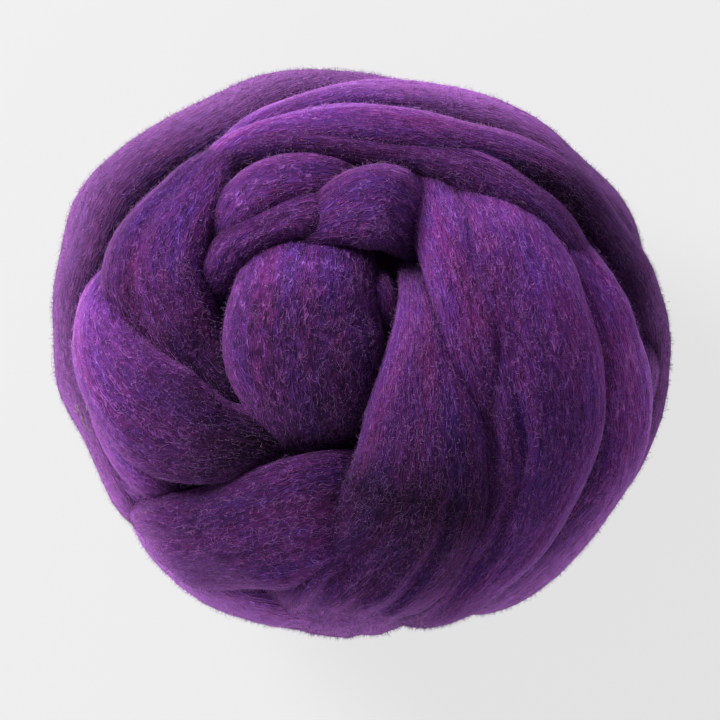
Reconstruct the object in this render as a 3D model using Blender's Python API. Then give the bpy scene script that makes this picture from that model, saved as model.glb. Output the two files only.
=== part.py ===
"""A ball of combed wool roving: one closed solid with the wound form and its main twists.

Millimetres in the tables, metres in the model.  X runs to the right and Y away from
the front, Z is up; the ball rests on Z = 0 with the middle of its plan box at the origin.

Every turn of the roving lies on a "carrier": a flattened, slightly lopsided ball.  A turn
is a flattened round section swept through the stations of its table, at a lift above or
below the carrier, so that the one with more lift passes over its neighbour.  Both ends of
a turn dive under the turns beside it, as the roving has no loose end in sight.
"""
import math

import bmesh
import bpy
import numpy as np

NODE = "roving_ball"
MM = 0.001

# ---- the carrier (mm) ---------------------------------------------------------------
HALF_X, HALF_Y = 66.0, 60.0     # to the middle of the outermost turns
CROWN, BELLY = 39.0, 38.0       # the carrier's height above and below its widest level
WIDEST = 41.0                   # height of the widest level over the resting plane
CORE_INSET = 6.0                # the filled core lies this far inside the carrier

# how far the carrier reaches at a bearing, as a share of the plain ellipse
REACH_COLUMNS = ("bearing", "share")
REACH = [
    (0, 1.000), (25, 0.975), (50, 0.988), (75, 0.968), (100, 0.995), (125, 1.025),
    (150, 1.058), (178, 0.990), (200, 0.935), (222, 0.970), (250, 0.985), (280, 0.985),
    (307, 1.012), (332, 0.985),
]

# ---- turns seen from above (mm): where the middle of the roving passes in plan -------
# Beyond the carrier's rim the plan folds out: the turn carries on down the side.
CROWN_COLUMNS = ("x", "y", "lift", "width", "thick")
CROWN_TURNS = {
    "centre_fold": [
        (-11.0, 40, -20, 18, 12), (-11.5, 27, -9, 28, 17), (-13, 14, -4, 35, 20),
        (-13.7, 2, -2.5, 37.5, 21), (-12.5, -9, -4, 34, 20), (-11, -20, -9, 28, 17),
        (-8, -32, -18, 20, 12)],
    "centre_sliver": [
        (1, 22, -8, 8, 8), (5, 14, -4, 7, 8), (6, 6, -5, 6, 8), (5, -4, -9, 6, 8)],
    "crown_band": [
        (-40, 8, -10, 8, 9), (-35, 17, -4, 9, 9), (-29, 24.5, -1, 9, 9), (-20, 29, 0, 9, 9),
        (-11, 31, 1, 10, 10), (-2, 32, 0, 10, 9)],
    "crown_lobe": [
        (-36, 20, -9, 10, 10), (-30, 30, -3, 13, 12), (-23, 36, -0.5, 14, 14),
        (-14, 38.5, -0.5, 14, 14), (-5, 39, -2, 13, 12), (4, 39, -7, 12, 11)],
    "crown_knob": [
        (-18, 27, -5, 8, 9), (-8, 30, 0, 13, 12), (0, 32, 2, 19, 16), (6, 32.5, 2, 20, 17),
        (13, 31, -3, 18, 14), (22, 28, -10, 14, 12)],
    "left_fan": [
        (-28, 46, -5, 8, 8), (-34, 42.5, -1, 10, 9), (-39, 36, 1, 14, 12),
        (-43, 28, 1, 20, 14), (-45, 19, 0, 23, 14), (-45, 9, -3, 25, 14),
        (-42, -3, -8, 24, 13), (-34, -14, -14, 20, 12)],
    "left_lobe": [
        (-50, 31, -7, 8, 9), (-55.5, 21.5, -1, 10, 10), (-58.5, 12, 0.5, 13, 12),
        (-56.5, 2, 2, 19, 14), (-51, -7.5, 3, 26, 16), (-42.5, -15.5, 2, 28, 16),
        (-33, -19.5, 0, 21, 14), (-24, -21, -3, 14, 12), (-13, -26, -9, 10, 10)],
    "left_ply_upper": [
        (-61, 2, -7, 8, 8), (-58.5, -11, -1.5, 9, 9), (-53.5, -22, -0.5, 10, 9),
        (-46, -30, -2, 9, 9), (-37, -36, -8, 8, 8)],
    "left_ply_lower": [
        (-61, -10, -6, 8, 8), (-56.5, -21, -0.5, 9, 8), (-51, -30, -0.5, 9, 8),
        (-44, -37, -5, 8, 8), (-37, -42, -9, 8, 8)],
    "low_lobe": [
        (16, -34, -12, 22, 12), (4, -36, -5, 28, 13), (-8, -38, 0, 33, 15),
        (-19, -40, 1, 32, 16), (-31, -42, 0.5, 28, 16), (-41, -43.5, 0.5, 24, 14),
        (-50, -44, 1, 22, 12), (-57, -48, -1, 22, 12), (-63, -54, -5, 20, 10),
        (-67, -62, -10, 18, 10)],
    "middle_fan": [
        (13, 27, -12, 7, 8), (13, 17, -4, 8, 9), (13.5, 8, 0, 12, 11), (14, -2, 1, 19, 13),
        (14.5, -14, 2, 28, 14), (14, -27, 2, 34, 14), (10.5, -37, 2, 37, 14),
        (4, -46, 1.5, 40, 14), (-3, -53, 0.5, 38, 13), (-8, -59.5, 0, 35, 13),
        (-13, -67, -3, 32, 12), (-17, -76, -9, 28, 10)],
    "right_fan_edge": [
        (15, 49, -8, 10, 9), (16, 40, -1, 11, 10), (17.5, 30, 2, 12, 11), (20, 18, 3, 12, 12),
        (24, 4, 3, 12, 12), (28.5, -12, 2, 11, 11), (31, -28, 2, 9, 10),
        (30.5, -40, 1.5, 9, 10), (26, -51, 0.5, 8, 9), (18, -58.5, 0, 8, 9),
        (8, -64, -2, 8, 9), (-2, -68, -6, 8, 8)],
    "right_fan": [
        (23, 48, -8, 16, 10), (26, 37.5, -1, 18, 12), (30, 27, 2, 22, 14),
        (34.5, 14, 3, 28, 15), (39, 0, 3, 31, 15), (42, -13, 3, 31, 15),
        (41.8, -26, 2.5, 28, 14), (38, -38, 2, 23, 13), (31, -48, 1, 18, 12),
        (22.5, -56, 0.5, 14, 12), (12, -62, 0, 12, 11), (1, -67, -2, 12, 10),
        (-10, -72, -7, 12, 9)],
    "top_thin": [
        (-38, 38, -9, 8, 8), (-32, 43, -1, 7, 8), (-21, 46, 1, 8, 9), (-8, 46.2, 1.5, 8, 9),
        (3, 44.6, 1.5, 8, 9), (13, 43, 1.5, 8, 9), (23, 40, 1.5, 8, 9), (32.5, 34.5, 1.5, 9, 9),
        (41, 28.5, -0.5, 9, 9), (48, 21, -7, 8, 8)],
}

# ---- turns round the rim (mm): bearing in degrees, rise over the widest level --------
RIM_COLUMNS = ("bearing", "rise", "lift", "width", "thick")
RIM_TURNS = {
    "rim_left": [
        (238, -14, -8, 14, 11), (226, -10, -1, 16, 12), (213, -7, 0.5, 18, 12),
        (200, -5, -0.5, 19, 12), (187, -2, 0, 21, 13), (174, 2, -0.5, 23, 13),
        (162, 6, -0.5, 25, 14), (150, 8, 0, 26, 15), (138, 8, 0.3, 26, 15),
        (125, 6, -0.5, 25, 14), (110, 2, 0.3, 24, 13), (94, -3, 0.8, 22, 12),
        (79, -8, -1, 20, 12), (64, -12, -6, 18, 11)],
    "top_outer": [
        (139, 22, -9, 9, 8), (128, 20, -3, 9, 9), (115, 18.5, 0.2, 10, 10),
        (101, 16, 1, 12, 11), (87, 12, 0.8, 15, 12), (73, 7.5, 0.8, 18, 12),
        (60, 5, 0.4, 18, 13), (49, 3, 0, 18, 13), (38, 1, 0, 18, 13), (28, -3, 0, 16, 13),
        (18, -8, -3, 15, 12), (7, -12, -7, 14, 11)],
    "top_inner": [
        (137, 22, -9, 9, 8), (127, 20.5, -1, 9, 9), (113, 20.5, 1, 10, 10),
        (98, 21.5, 2, 12, 11), (82, 21.5, 2.5, 13, 12), (66, 21, 2.5, 13, 12),
        (52, 19, 2.5, 12, 12), (39, 15, 2.3, 11, 12), (27, 10.5, 0.8, 11, 12),
        (16, 4, 0, 10, 12), (5, -3, 0.3, 11, 12), (355, -7, 1, 13, 12),
        (343, -9, 1.2, 16, 12), (331, -9, 0.5, 18, 12), (320, -9, 0.5, 18, 12),
        (308, -11, 0, 18, 12), (295, -14, -4, 16, 12)],
    "right_band": [
        (47, 21.5, -9, 12, 11), (33, 22, -3, 14, 12), (19, 22, -1.5, 16, 13),
        (6, 21, -1, 17, 13), (354, 18, -0.5, 18, 13), (343, 13.5, 0, 18, 13),
        (331.5, 8.5, 0.5, 17, 13), (320, 4.5, 0.6, 16, 13), (308.5, 0.5, 0.6, 15, 12),
        (296.5, -5, 0, 14, 12), (284, -12, -4, 12, 11), (270, -18, -9, 12, 10)],
    "rim_low": [
        (208, -20, -7, 14, 11), (220, -15, -2, 15, 11), (232, -9, 0.5, 16, 12),
        (245, -5, 0.8, 17, 12), (258, -3, 0.3, 18, 12), (270, -3, 1.2, 18, 12),
        (283, -5, 0.5, 18, 12), (295, -9, -2, 16, 11), (307, -13, -8, 14, 10)],
}

# ---- full rings below the rim: they run from start to end, tilted by tilt mm ---------
RING_COLUMNS = ("name", "drop", "lift", "width", "thick", "start", "end", "tilt", "phase")
RINGS = [
    ("ring_upper", 13, -3, 24, 13, 100, 470, 5, 1.0),
    ("ring_lower", 25, -2, 22, 13, 20, 400, 5, 3.5),
]
RING_STATIONS = 22
RING_WOBBLE = 0.8

# ---- straight crossings under the ball, at an offset from its middle -----------------
CROSSING_COLUMNS = ("name", "bearing", "offset", "lift", "width", "thick")
CROSSINGS = [
    ("under_middle", 28, -1, 0.5, 32, 13),
    ("under_far", 36, 27, -1.5, 30, 13),
    ("under_near", 20, -28, -1.5, 30, 13),
]
CROSSING_STATIONS = 9
CROSSING_HALF = 62.0

# ---- sections and the finished skin --------------------------------------------------
SQUARENESS = 0.85       # 1 is a plain ellipse, less is fuller at the corners
TIP_LENGTH = 10.0       # mm over which an end closes
STATIONS, GIRTH = 150, 44
CORE_RINGS, CORE_SPOKES = 48, 96
VOXEL = 1.25            # mm
SMOOTHING = 3
TRIANGLES = 9800
FLAT_SNAP = 0.35        # mm: skin this close to the resting plane belongs to the flat spot


# ---- the material ----------------------------------------------------------------------
WOOL = {"Base Color": (0.13, 0.03, 0.19, 1.0), "Roughness": 0.95, "Metallic": 0.0}


# ---- the carrier ----------------------------------------------------------------------
def reach(bearing):
    """Share of the plain ellipse at bearings in degrees, a smooth closed curve through REACH."""
    b = np.array([row[0] for row in REACH], float)
    v = np.array([row[1] for row in REACH], float)
    b = np.concatenate([b[-2:] - 360, b, b[:2] + 360])
    v = np.concatenate([v[-2:], v, v[:2]])
    x = np.mod(np.asarray(bearing, float), 360)
    i = np.clip(np.searchsorted(b, x, side="right") - 1, 1, len(b) - 3)
    span = b[i + 1] - b[i]
    t = (x - b[i]) / span
    rise_in = (v[i + 1] - v[i - 1]) / (b[i + 1] - b[i - 1]) * span
    rise_out = (v[i + 2] - v[i]) / (b[i + 2] - b[i]) * span
    return ((2 * t**3 - 3 * t**2 + 1) * v[i] + (t**3 - 2 * t**2 + t) * rise_in
            + (3 * t**2 - 2 * t**3) * v[i + 1] + (t**3 - t**2) * rise_out)


def unwarp(points):
    """Points relative to the carrier's middle with the lopsided reach taken out."""
    q = points - np.array([0.0, 0.0, WIDEST])
    share = reach(np.degrees(np.arctan2(q[:, 1], q[:, 0])))
    q[:, 0] /= share
    q[:, 1] /= share
    half_z = np.where(q[:, 2] >= 0, CROWN, BELLY)
    return q, half_z


def outward(points):
    q, half_z = unwarp(points)
    n = np.stack([q[:, 0] / HALF_X**2, q[:, 1] / HALF_Y**2, q[:, 2] / half_z**2], axis=1)
    return n / np.linalg.norm(n, axis=1, keepdims=True)


def shell(points):
    """Which shell a point lies on: 1 is the carrier itself."""
    q, half_z = unwarp(points)
    return np.sqrt((q[:, 0] / HALF_X)**2 + (q[:, 1] / HALF_Y)**2 + (q[:, 2] / half_z)**2)


def lifted(x, y, z, lift):
    p = np.array([[x, y, z]], float)
    return (p + outward(p) * lift)[0]


def from_plan(x, y, lift, side=1):
    """A station given in plan, on the crown (side 1) or under the belly (side -1)."""
    share = float(reach(math.degrees(math.atan2(y, x))))
    s = math.hypot(x / HALF_X, y / HALF_Y) / share
    if s > 1:                                   # folded out, past the rim
        k, s, side = (2 - s) / s, 2 - s, -side
        x, y = x * k, y * k
    half_z = CROWN if side > 0 else BELLY
    return lifted(x, y, WIDEST + side * half_z * math.sqrt(max(0.0, 1 - s * s)), lift)


def from_rim(bearing, rise, lift):
    """A station given by its bearing and its rise over the widest level."""
    a = math.radians(bearing)
    half_z = CROWN if rise > 0 else BELLY
    r = math.sqrt(1 - (rise / half_z)**2) * float(reach(bearing))
    r /= math.hypot(math.cos(a) / HALF_X, math.sin(a) / HALF_Y)
    return lifted(r * math.cos(a), r * math.sin(a), WIDEST + rise, lift)


# ---- stations of every turn -----------------------------------------------------------
def ring_stations(drop, lift, width, thick, start, end, tilt, phase):
    rows = []
    for i in range(RING_STATIONS):
        bearing = start + (end - start) * i / (RING_STATIONS - 1)
        a = math.radians(bearing)
        dive = 6 * max(0.0, 1 - min(i, RING_STATIONS - 1 - i) / 2)
        height = -(drop + tilt * math.sin(a - phase))
        here = lift + RING_WOBBLE * math.sin(3 * a + phase) - dive
        rows.append((*from_rim(bearing, height, here), width, thick))
    return rows


def crossing_stations(bearing, offset, lift, width, thick):
    a = math.radians(bearing)
    half = math.sqrt(1 - (offset / HALF_Y)**2) * CROSSING_HALF
    rows = []
    for i in range(CROSSING_STATIONS):
        u = 2 * i / (CROSSING_STATIONS - 1) - 1
        along = half * math.sin(u * 0.49 * math.pi)
        x = along * math.cos(a) - offset * math.sin(a)
        y = (along * math.sin(a) + offset * math.cos(a)) * HALF_Y / HALF_X
        dive = 25 * max(0.0, abs(u) - 0.72)
        rows.append((*from_plan(x, y, lift - dive, side=-1), width, thick))
    return rows


def all_turns():
    """Name and stations (x, y, z, width, thick) of every turn of the ball."""
    turns = {}
    for name, rows in CROWN_TURNS.items():
        turns[name] = [(*from_plan(x, y, lift), w, t) for x, y, lift, w, t in rows]
    for name, rows in RIM_TURNS.items():
        turns[name] = [(*from_rim(b, rise, lift), w, t) for b, rise, lift, w, t in rows]
    for name, *sizes in RINGS:
        turns[name] = ring_stations(*sizes)
    for name, *sizes in CROSSINGS:
        turns[name] = crossing_stations(*sizes)
    return turns


# ---- sweeping -------------------------------------------------------------------------
def through(stations, count):
    """A smooth run through the stations, evenly spaced along its length."""
    p = np.array(stations, float)
    knots = np.concatenate([[0], np.cumsum(np.sqrt(np.linalg.norm(np.diff(p[:, :3], axis=0), axis=1)))])
    p = np.vstack([2 * p[0] - p[1], p, 2 * p[-1] - p[-2]])
    k = np.concatenate([[2 * knots[0] - knots[1]], knots, [2 * knots[-1] - knots[-2]]])
    u = np.linspace(knots[0], knots[-1], 3 * count)
    i = np.clip(np.searchsorted(knots, u, side="right") - 1, 0, len(knots) - 2)
    p0, p1, p2, p3 = (p[i + j] for j in range(4))
    k0, k1, k2, k3 = (k[i + j][:, None] for j in range(4))
    u = u[:, None]
    a1 = ((k1 - u) * p0 + (u - k0) * p1) / (k1 - k0)
    a2 = ((k2 - u) * p1 + (u - k1) * p2) / (k2 - k1)
    a3 = ((k3 - u) * p2 + (u - k2) * p3) / (k3 - k2)
    b1 = ((k2 - u) * a1 + (u - k0) * a2) / (k2 - k0)
    b2 = ((k3 - u) * a2 + (u - k1) * a3) / (k3 - k1)
    run = ((k2 - u) * b1 + (u - k1) * b2) / (k2 - k1)
    length = np.concatenate([[0], np.cumsum(np.linalg.norm(np.diff(run[:, :3], axis=0), axis=1))])
    even = np.linspace(0, length[-1], count)
    return np.stack([np.interp(even, length, run[:, c]) for c in range(5)], axis=1), even


def unit(v):
    return v / np.linalg.norm(v, axis=1, keepdims=True)


def sweep(stations):
    """Grid of points (along, round, xyz) of one turn, its section bent to the carrier."""
    run, even = through(stations, STATIONS)
    middle = run[:, :3]
    across = unit(np.cross(unit(np.gradient(middle, axis=0)), outward(middle)))
    to_end = np.clip(np.minimum(even, even[-1] - even) / TIP_LENGTH, 0, 1)
    closing = np.maximum(np.sqrt(1 - (1 - to_end)**2), 0.02)
    round_ = np.linspace(0, 2 * np.pi, GIRTH, endpoint=False)
    side = np.sign(np.cos(round_)) * np.abs(np.cos(round_))**SQUARENESS
    up = np.sign(np.sin(round_)) * np.abs(np.sin(round_))**SQUARENESS
    half_w, half_t = run[:, 3] * closing / 2, run[:, 4] * closing / 2
    points = middle[:, None, :] + across[:, None, :] * (half_w[:, None] * side)[..., None]
    points = points.reshape(-1, 3)
    centre = np.array([0.0, 0.0, WIDEST])
    level = np.repeat(shell(middle), GIRTH)
    for _ in range(2):                          # lay the width along the middle's own shell
        points = centre + (points - centre) * (level / shell(points))[:, None]
    points = points + outward(points) * (half_t[:, None] * up).reshape(-1)[:, None]
    return points.reshape(STATIONS, GIRTH, 3)


def core_grid():
    """The filled inside of the ball, pole to pole."""
    fall = np.linspace(0.02, np.pi - 0.02, CORE_RINGS)
    turn = np.linspace(0, 2 * np.pi, CORE_SPOKES, endpoint=False)
    share = reach(np.degrees(turn))
    x = (HALF_X - CORE_INSET) * np.outer(np.sin(fall), np.cos(turn) * share)
    y = (HALF_Y - CORE_INSET) * np.outer(np.sin(fall), np.sin(turn) * share)
    half_z = np.where(np.cos(fall) > 0, CROWN, BELLY) - CORE_INSET
    z = WIDEST + np.repeat((half_z * np.cos(fall))[:, None], CORE_SPOKES, axis=1)
    return np.stack([x, y, z], axis=2)[:, ::-1]


def skin_of(grid, first):
    """Faces of one closed grid: sides and two end caps, counted on from first."""
    rows, cols = grid.shape[:2]
    i = np.arange(rows - 1)[:, None] * cols
    j = np.arange(cols)
    nxt = (j + 1) % cols
    sides = np.stack([i + j, i + nxt, i + cols + nxt, i + cols + j], axis=-1).reshape(-1, 4)
    caps = [list(first + j[::-1]), list(first + (rows - 1) * cols + j)]
    return (sides + first).tolist() + caps


# ---- one skin over everything ----------------------------------------------------------
def joined_mesh(grids):
    verts, faces, first = [], [], 0
    for grid in grids:
        faces += skin_of(grid, first)
        verts.append(grid.reshape(-1, 3) * MM)
        first += grid.shape[0] * grid.shape[1]
    mesh = bpy.data.meshes.new("turns")
    mesh.from_pydata(np.concatenate(verts).tolist(), [], faces)
    return mesh


def with_modifier(mesh, kind, **settings):
    """The mesh with one modifier worked into it."""
    holder = bpy.data.objects.new("holder", mesh)
    bpy.context.scene.collection.objects.link(holder)
    step = holder.modifiers.new(kind.lower(), kind)
    for name, value in settings.items():
        setattr(step, name, value)
    depsgraph = bpy.context.evaluated_depsgraph_get()
    result = bpy.data.meshes.new_from_object(holder.evaluated_get(depsgraph))
    bpy.data.objects.remove(holder)
    return result


def outer_body_only(mesh):
    """Drops every closed shell but the largest, so no hollow stays inside."""
    bm = bmesh.new()
    bm.from_mesh(mesh)
    left, largest = set(bm.faces), []
    while left:
        seed = left.pop()
        body, queue = [seed], [seed]
        while queue:
            for edge in queue.pop().edges:
                for face in edge.link_faces:
                    if face in left:
                        left.remove(face)
                        body.append(face)
                        queue.append(face)
        if len(body) > len(largest):
            largest = body
    keep = set(largest)
    bmesh.ops.delete(bm, geom=[f for f in bm.faces if f not in keep], context="FACES")
    loose = [v for v in bm.verts if not v.link_faces]
    bmesh.ops.delete(bm, geom=loose, context="VERTS")
    bm.to_mesh(mesh)
    bm.free()


def move_points(mesh, change):
    """Runs change(points in mm) over all vertices."""
    flat = np.empty(len(mesh.vertices) * 3)
    mesh.vertices.foreach_get("co", flat)
    points = change(flat.reshape(-1, 3) / MM) * MM
    mesh.vertices.foreach_set("co", points.reshape(-1))
    mesh.update()


def press_flat(points):
    points[:, 2] = np.maximum(points[:, 2], 0)
    return points


def snap_flat(points):
    points[points[:, 2] < FLAT_SNAP, 2] = 0
    return points


def centre_plan(points):
    points[:, :2] -= (points[:, :2].max(axis=0) + points[:, :2].min(axis=0)) / 2
    return points


def tidy(mesh):
    bm = bmesh.new()
    bm.from_mesh(mesh)
    bmesh.ops.remove_doubles(bm, verts=bm.verts, dist=0.02 * MM)
    bmesh.ops.dissolve_degenerate(bm, edges=bm.edges, dist=0.02 * MM)
    bmesh.ops.triangulate(bm, faces=bm.faces)
    bmesh.ops.recalc_face_normals(bm, faces=bm.faces)
    bm.to_mesh(mesh)
    bm.free()


def wool_material():
    material = bpy.data.materials.new("wool")
    material.use_nodes = True
    shader = material.node_tree.nodes["Principled BSDF"]
    for name, value in WOOL.items():
        shader.inputs[name].default_value = value
    return material


def build():
    grids = [sweep(stations) for stations in all_turns().values()] + [core_grid()]
    mesh = joined_mesh(grids)
    mesh = with_modifier(mesh, "REMESH", mode="VOXEL", voxel_size=VOXEL * MM)
    outer_body_only(mesh)
    mesh = with_modifier(mesh, "SMOOTH", factor=0.5, iterations=SMOOTHING)
    move_points(mesh, press_flat)
    triangles = sum(len(face.vertices) - 2 for face in mesh.polygons)
    mesh = with_modifier(mesh, "DECIMATE", ratio=TRIANGLES / triangles)
    move_points(mesh, snap_flat)
    move_points(mesh, centre_plan)
    tidy(mesh)
    mesh.name = NODE
    mesh.shade_smooth()
    mesh.materials.clear()
    mesh.materials.append(wool_material())
    ball = bpy.data.objects.new(NODE, mesh)
    bpy.context.scene.collection.objects.link(ball)


for old in list(bpy.data.objects):
    bpy.data.objects.remove(old)
build()
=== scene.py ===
"""A ball of combed wool roving, dressed over its solid: turns, fibres, dye, and painted light and
shade.

Every turn of the solid is swept again, with its combing and its folds worked into the skin.
Some of the turns that show from above run a few millimetres beside the solid's, or differ a
little from them in width and length.  Loose fibres lie on the skin and stand off it.  Tables
are in millimetres, the pieces in metres; the ball rests on Z = 0.
"""
import math

import bpy
import numpy as np
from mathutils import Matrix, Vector
from mathutils.bvhtree import BVHTree


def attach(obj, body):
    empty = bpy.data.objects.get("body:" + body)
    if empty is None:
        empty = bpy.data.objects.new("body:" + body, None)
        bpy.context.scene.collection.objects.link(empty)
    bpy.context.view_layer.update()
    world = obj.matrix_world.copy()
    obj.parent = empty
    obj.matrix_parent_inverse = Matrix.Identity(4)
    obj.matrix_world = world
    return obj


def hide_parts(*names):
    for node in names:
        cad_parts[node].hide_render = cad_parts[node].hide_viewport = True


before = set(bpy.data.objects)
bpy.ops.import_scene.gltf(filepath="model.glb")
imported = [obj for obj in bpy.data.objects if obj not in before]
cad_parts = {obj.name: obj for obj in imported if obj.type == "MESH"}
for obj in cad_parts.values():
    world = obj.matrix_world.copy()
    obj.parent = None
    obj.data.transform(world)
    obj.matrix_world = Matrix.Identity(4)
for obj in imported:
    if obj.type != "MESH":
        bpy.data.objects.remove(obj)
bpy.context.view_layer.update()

NODE = "roving_ball"
BODY = "root"
MM = 0.001
PLAN_SHIFT = (-0.28, 0.09, 0.0)   # mm: from the tables' middle to the middle of the plan box

# ---- the carrier: the lopsided rounded form that the turns are wound on (mm) --------------
HALF_X, HALF_Y = 66.0, 60.0
CROWN, BELLY = 39.0, 38.0
WIDEST = 41.0
CORE_INSET = 6.0

# how far out the ball reaches: bearing in degrees, share of the plain ellipse
REACH = [
    (0, 1.000), (25, 0.975), (50, 0.988), (75, 0.968), (100, 0.995), (125, 1.025),
    (150, 1.058), (178, 0.990), (200, 0.935), (222, 0.970), (250, 0.985), (280, 0.985),
    (307, 1.012), (332, 0.985),
]

# ---- turns seen from above: where the middle of the roving passes in plan ---------------
# each station: x, y, lift off the carrier, width, thickness
CROWN_TURNS = {
    "centre_fold": [
        (-11.0, 40, -20, 18, 12), (-11.5, 27, -9, 28, 17), (-13, 14, -4, 35, 20),
        (-13.7, 2, -2.5, 37.5, 21), (-12.5, -9, -4, 34, 20), (-11, -20, -9, 28, 17),
        (-8, -32, -18, 20, 12)],
    "centre_sliver": [
        (1, 22, -8, 8, 8), (5, 14, -4, 7, 8), (6, 6, -5, 6, 8), (5, -4, -9, 6, 8)],
    "crown_band": [
        (-40, 8, -10, 8, 9), (-35, 17, -4, 9, 9), (-29, 24.5, -1, 9, 9), (-20, 29, 0, 9, 9),
        (-11, 31, 1, 10, 10), (-2, 32, 0, 10, 9)],
    "crown_lobe": [
        (-36, 20, -9, 10, 10), (-30, 30, -3, 13, 12), (-23, 36, -0.5, 14, 14),
        (-14, 38.5, -0.5, 14, 14), (-5, 39, -2, 13, 12), (4, 39, -7, 12, 11)],
    "crown_knob": [
        (-18, 27, -5, 8, 9), (-8, 30, 0, 13, 12), (0, 32, 2, 19, 16), (6, 32.5, 2, 20, 17),
        (13, 31, -3, 18, 14), (22, 28, -10, 14, 12)],
    "left_fan": [
        (-11, 50, -10, 6, 7), (-20, 49, -6, 7, 8), (-28, 45.8, -2.6, 9, 9),
        (-33.4, 40.8, -0.2, 12, 11), (-38, 35, 0.5, 16.5, 12),
        (-43.5, 28, 0.5, 22, 13), (-47.5, 19, 0, 27, 13), (-47.5, 9, -2.5, 29, 13),
        (-42.5, -3, -4.5, 28, 13), (-34, -12, -5.5, 26, 12), (-26, -20, -10, 22, 10)],
    "left_lobe": [
        (-52, 29, -9, 8, 9), (-56, 20, -4, 11, 10), (-58.5, 11, -0.8, 15, 12),
        (-56.5, 1.5, 1.6, 20, 14), (-51, -7.5, 3, 26, 16), (-42.5, -15.5, 2, 28, 16),
        (-33, -19.5, 0, 21, 14), (-24, -21, -3, 14, 12), (-13, -26, -9, 10, 10)],
    "left_ply_upper": [
        (-61, 2, -7, 9, 8), (-58.5, -11, -1.2, 12, 9), (-53.5, -22, 0, 14, 9),
        (-46, -30, -1.5, 13, 9), (-37, -36, -7, 10, 8)],
    "left_ply_lower": [
        (-61, -10, -5, 10, 8), (-57, -21, -0.2, 13, 8), (-51.5, -30, 0, 14, 8),
        (-44, -37, -4, 12, 8), (-37, -42, -9, 9, 8)],
    "low_lobe": [
        (16, -34, -12, 22, 12), (4, -36, -5, 28, 13), (-8, -38, 0, 33, 15),
        (-19, -40, 1, 32, 16), (-31, -42, 0.5, 28, 16), (-41, -42.5, 0.8, 27, 13),
        (-50.5, -43, 0.6, 27, 12), (-57.5, -47.5, -1.8, 24, 12), (-63, -55, -6.5, 20, 10),
        (-67, -62, -10, 18, 10)],
    "middle_fan": [
        (13, 27, -12, 7, 8), (13, 17, -4, 8, 9), (13.5, 8, 0, 12, 11), (14, -2, 1, 19, 13),
        (14.5, -14, 2, 28, 14), (14, -27, 2, 34, 14), (10.5, -37, 2, 37, 14),
        (4, -46, 1.3, 40, 14), (-3, -53, 0.7, 39, 13), (-7, -59.5, 0.7, 37, 13),
        (-10, -67, -0.8, 34, 12), (-14, -76, -7, 30, 10)],
    "right_fan_edge": [
        (15, 49, -10, 10, 9), (16, 40, -3.5, 12, 10), (17.8, 30, 1, 14, 11),
        (21, 18, 2.2, 15, 12), (25, 4, 2.3, 17, 12), (29.5, -12, 1.8, 16, 11),
        (32, -28, 1.6, 14, 10), (31, -40, 1.2, 12, 10), (26, -51, 0.5, 9, 9),
        (18, -58.5, -0.2, 8, 9), (8, -64, -2.2, 9, 9), (-2, -68, -8, 8, 8)],
    "right_fan": [
        (23, 48, -10, 18, 10), (26, 37.5, -3.5, 22, 12), (30, 27, 0.8, 26, 14),
        (35, 14, 1.8, 32, 15), (39, 0, 2, 34, 15), (41, -13, 2.2, 32, 15),
        (39.5, -25, 2.2, 28, 14), (34.5, -37, 2, 23, 13), (27, -47, 1.6, 19, 12),
        (18.5, -55, 1.2, 15, 12), (8, -61, 0.2, 13, 11), (-3, -66, -2.2, 13, 10),
        (-13, -71, -8, 11, 9)],
    "top_thin": [
        (-38, 38, -9, 8, 8), (-32, 43, -1, 7, 8), (-21, 46, 1, 8, 9), (-8, 46.2, 1.5, 8, 9),
        (3, 44.6, 1.5, 8, 9), (13, 43, 2, 9, 9), (23, 40.2, 2.4, 11, 10),
        (33, 35, 2.4, 12, 10), (42, 28.5, 1.4, 12, 10), (50, 19, -2, 12, 10),
        (56, 8, -8, 10, 9)],
}

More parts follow.
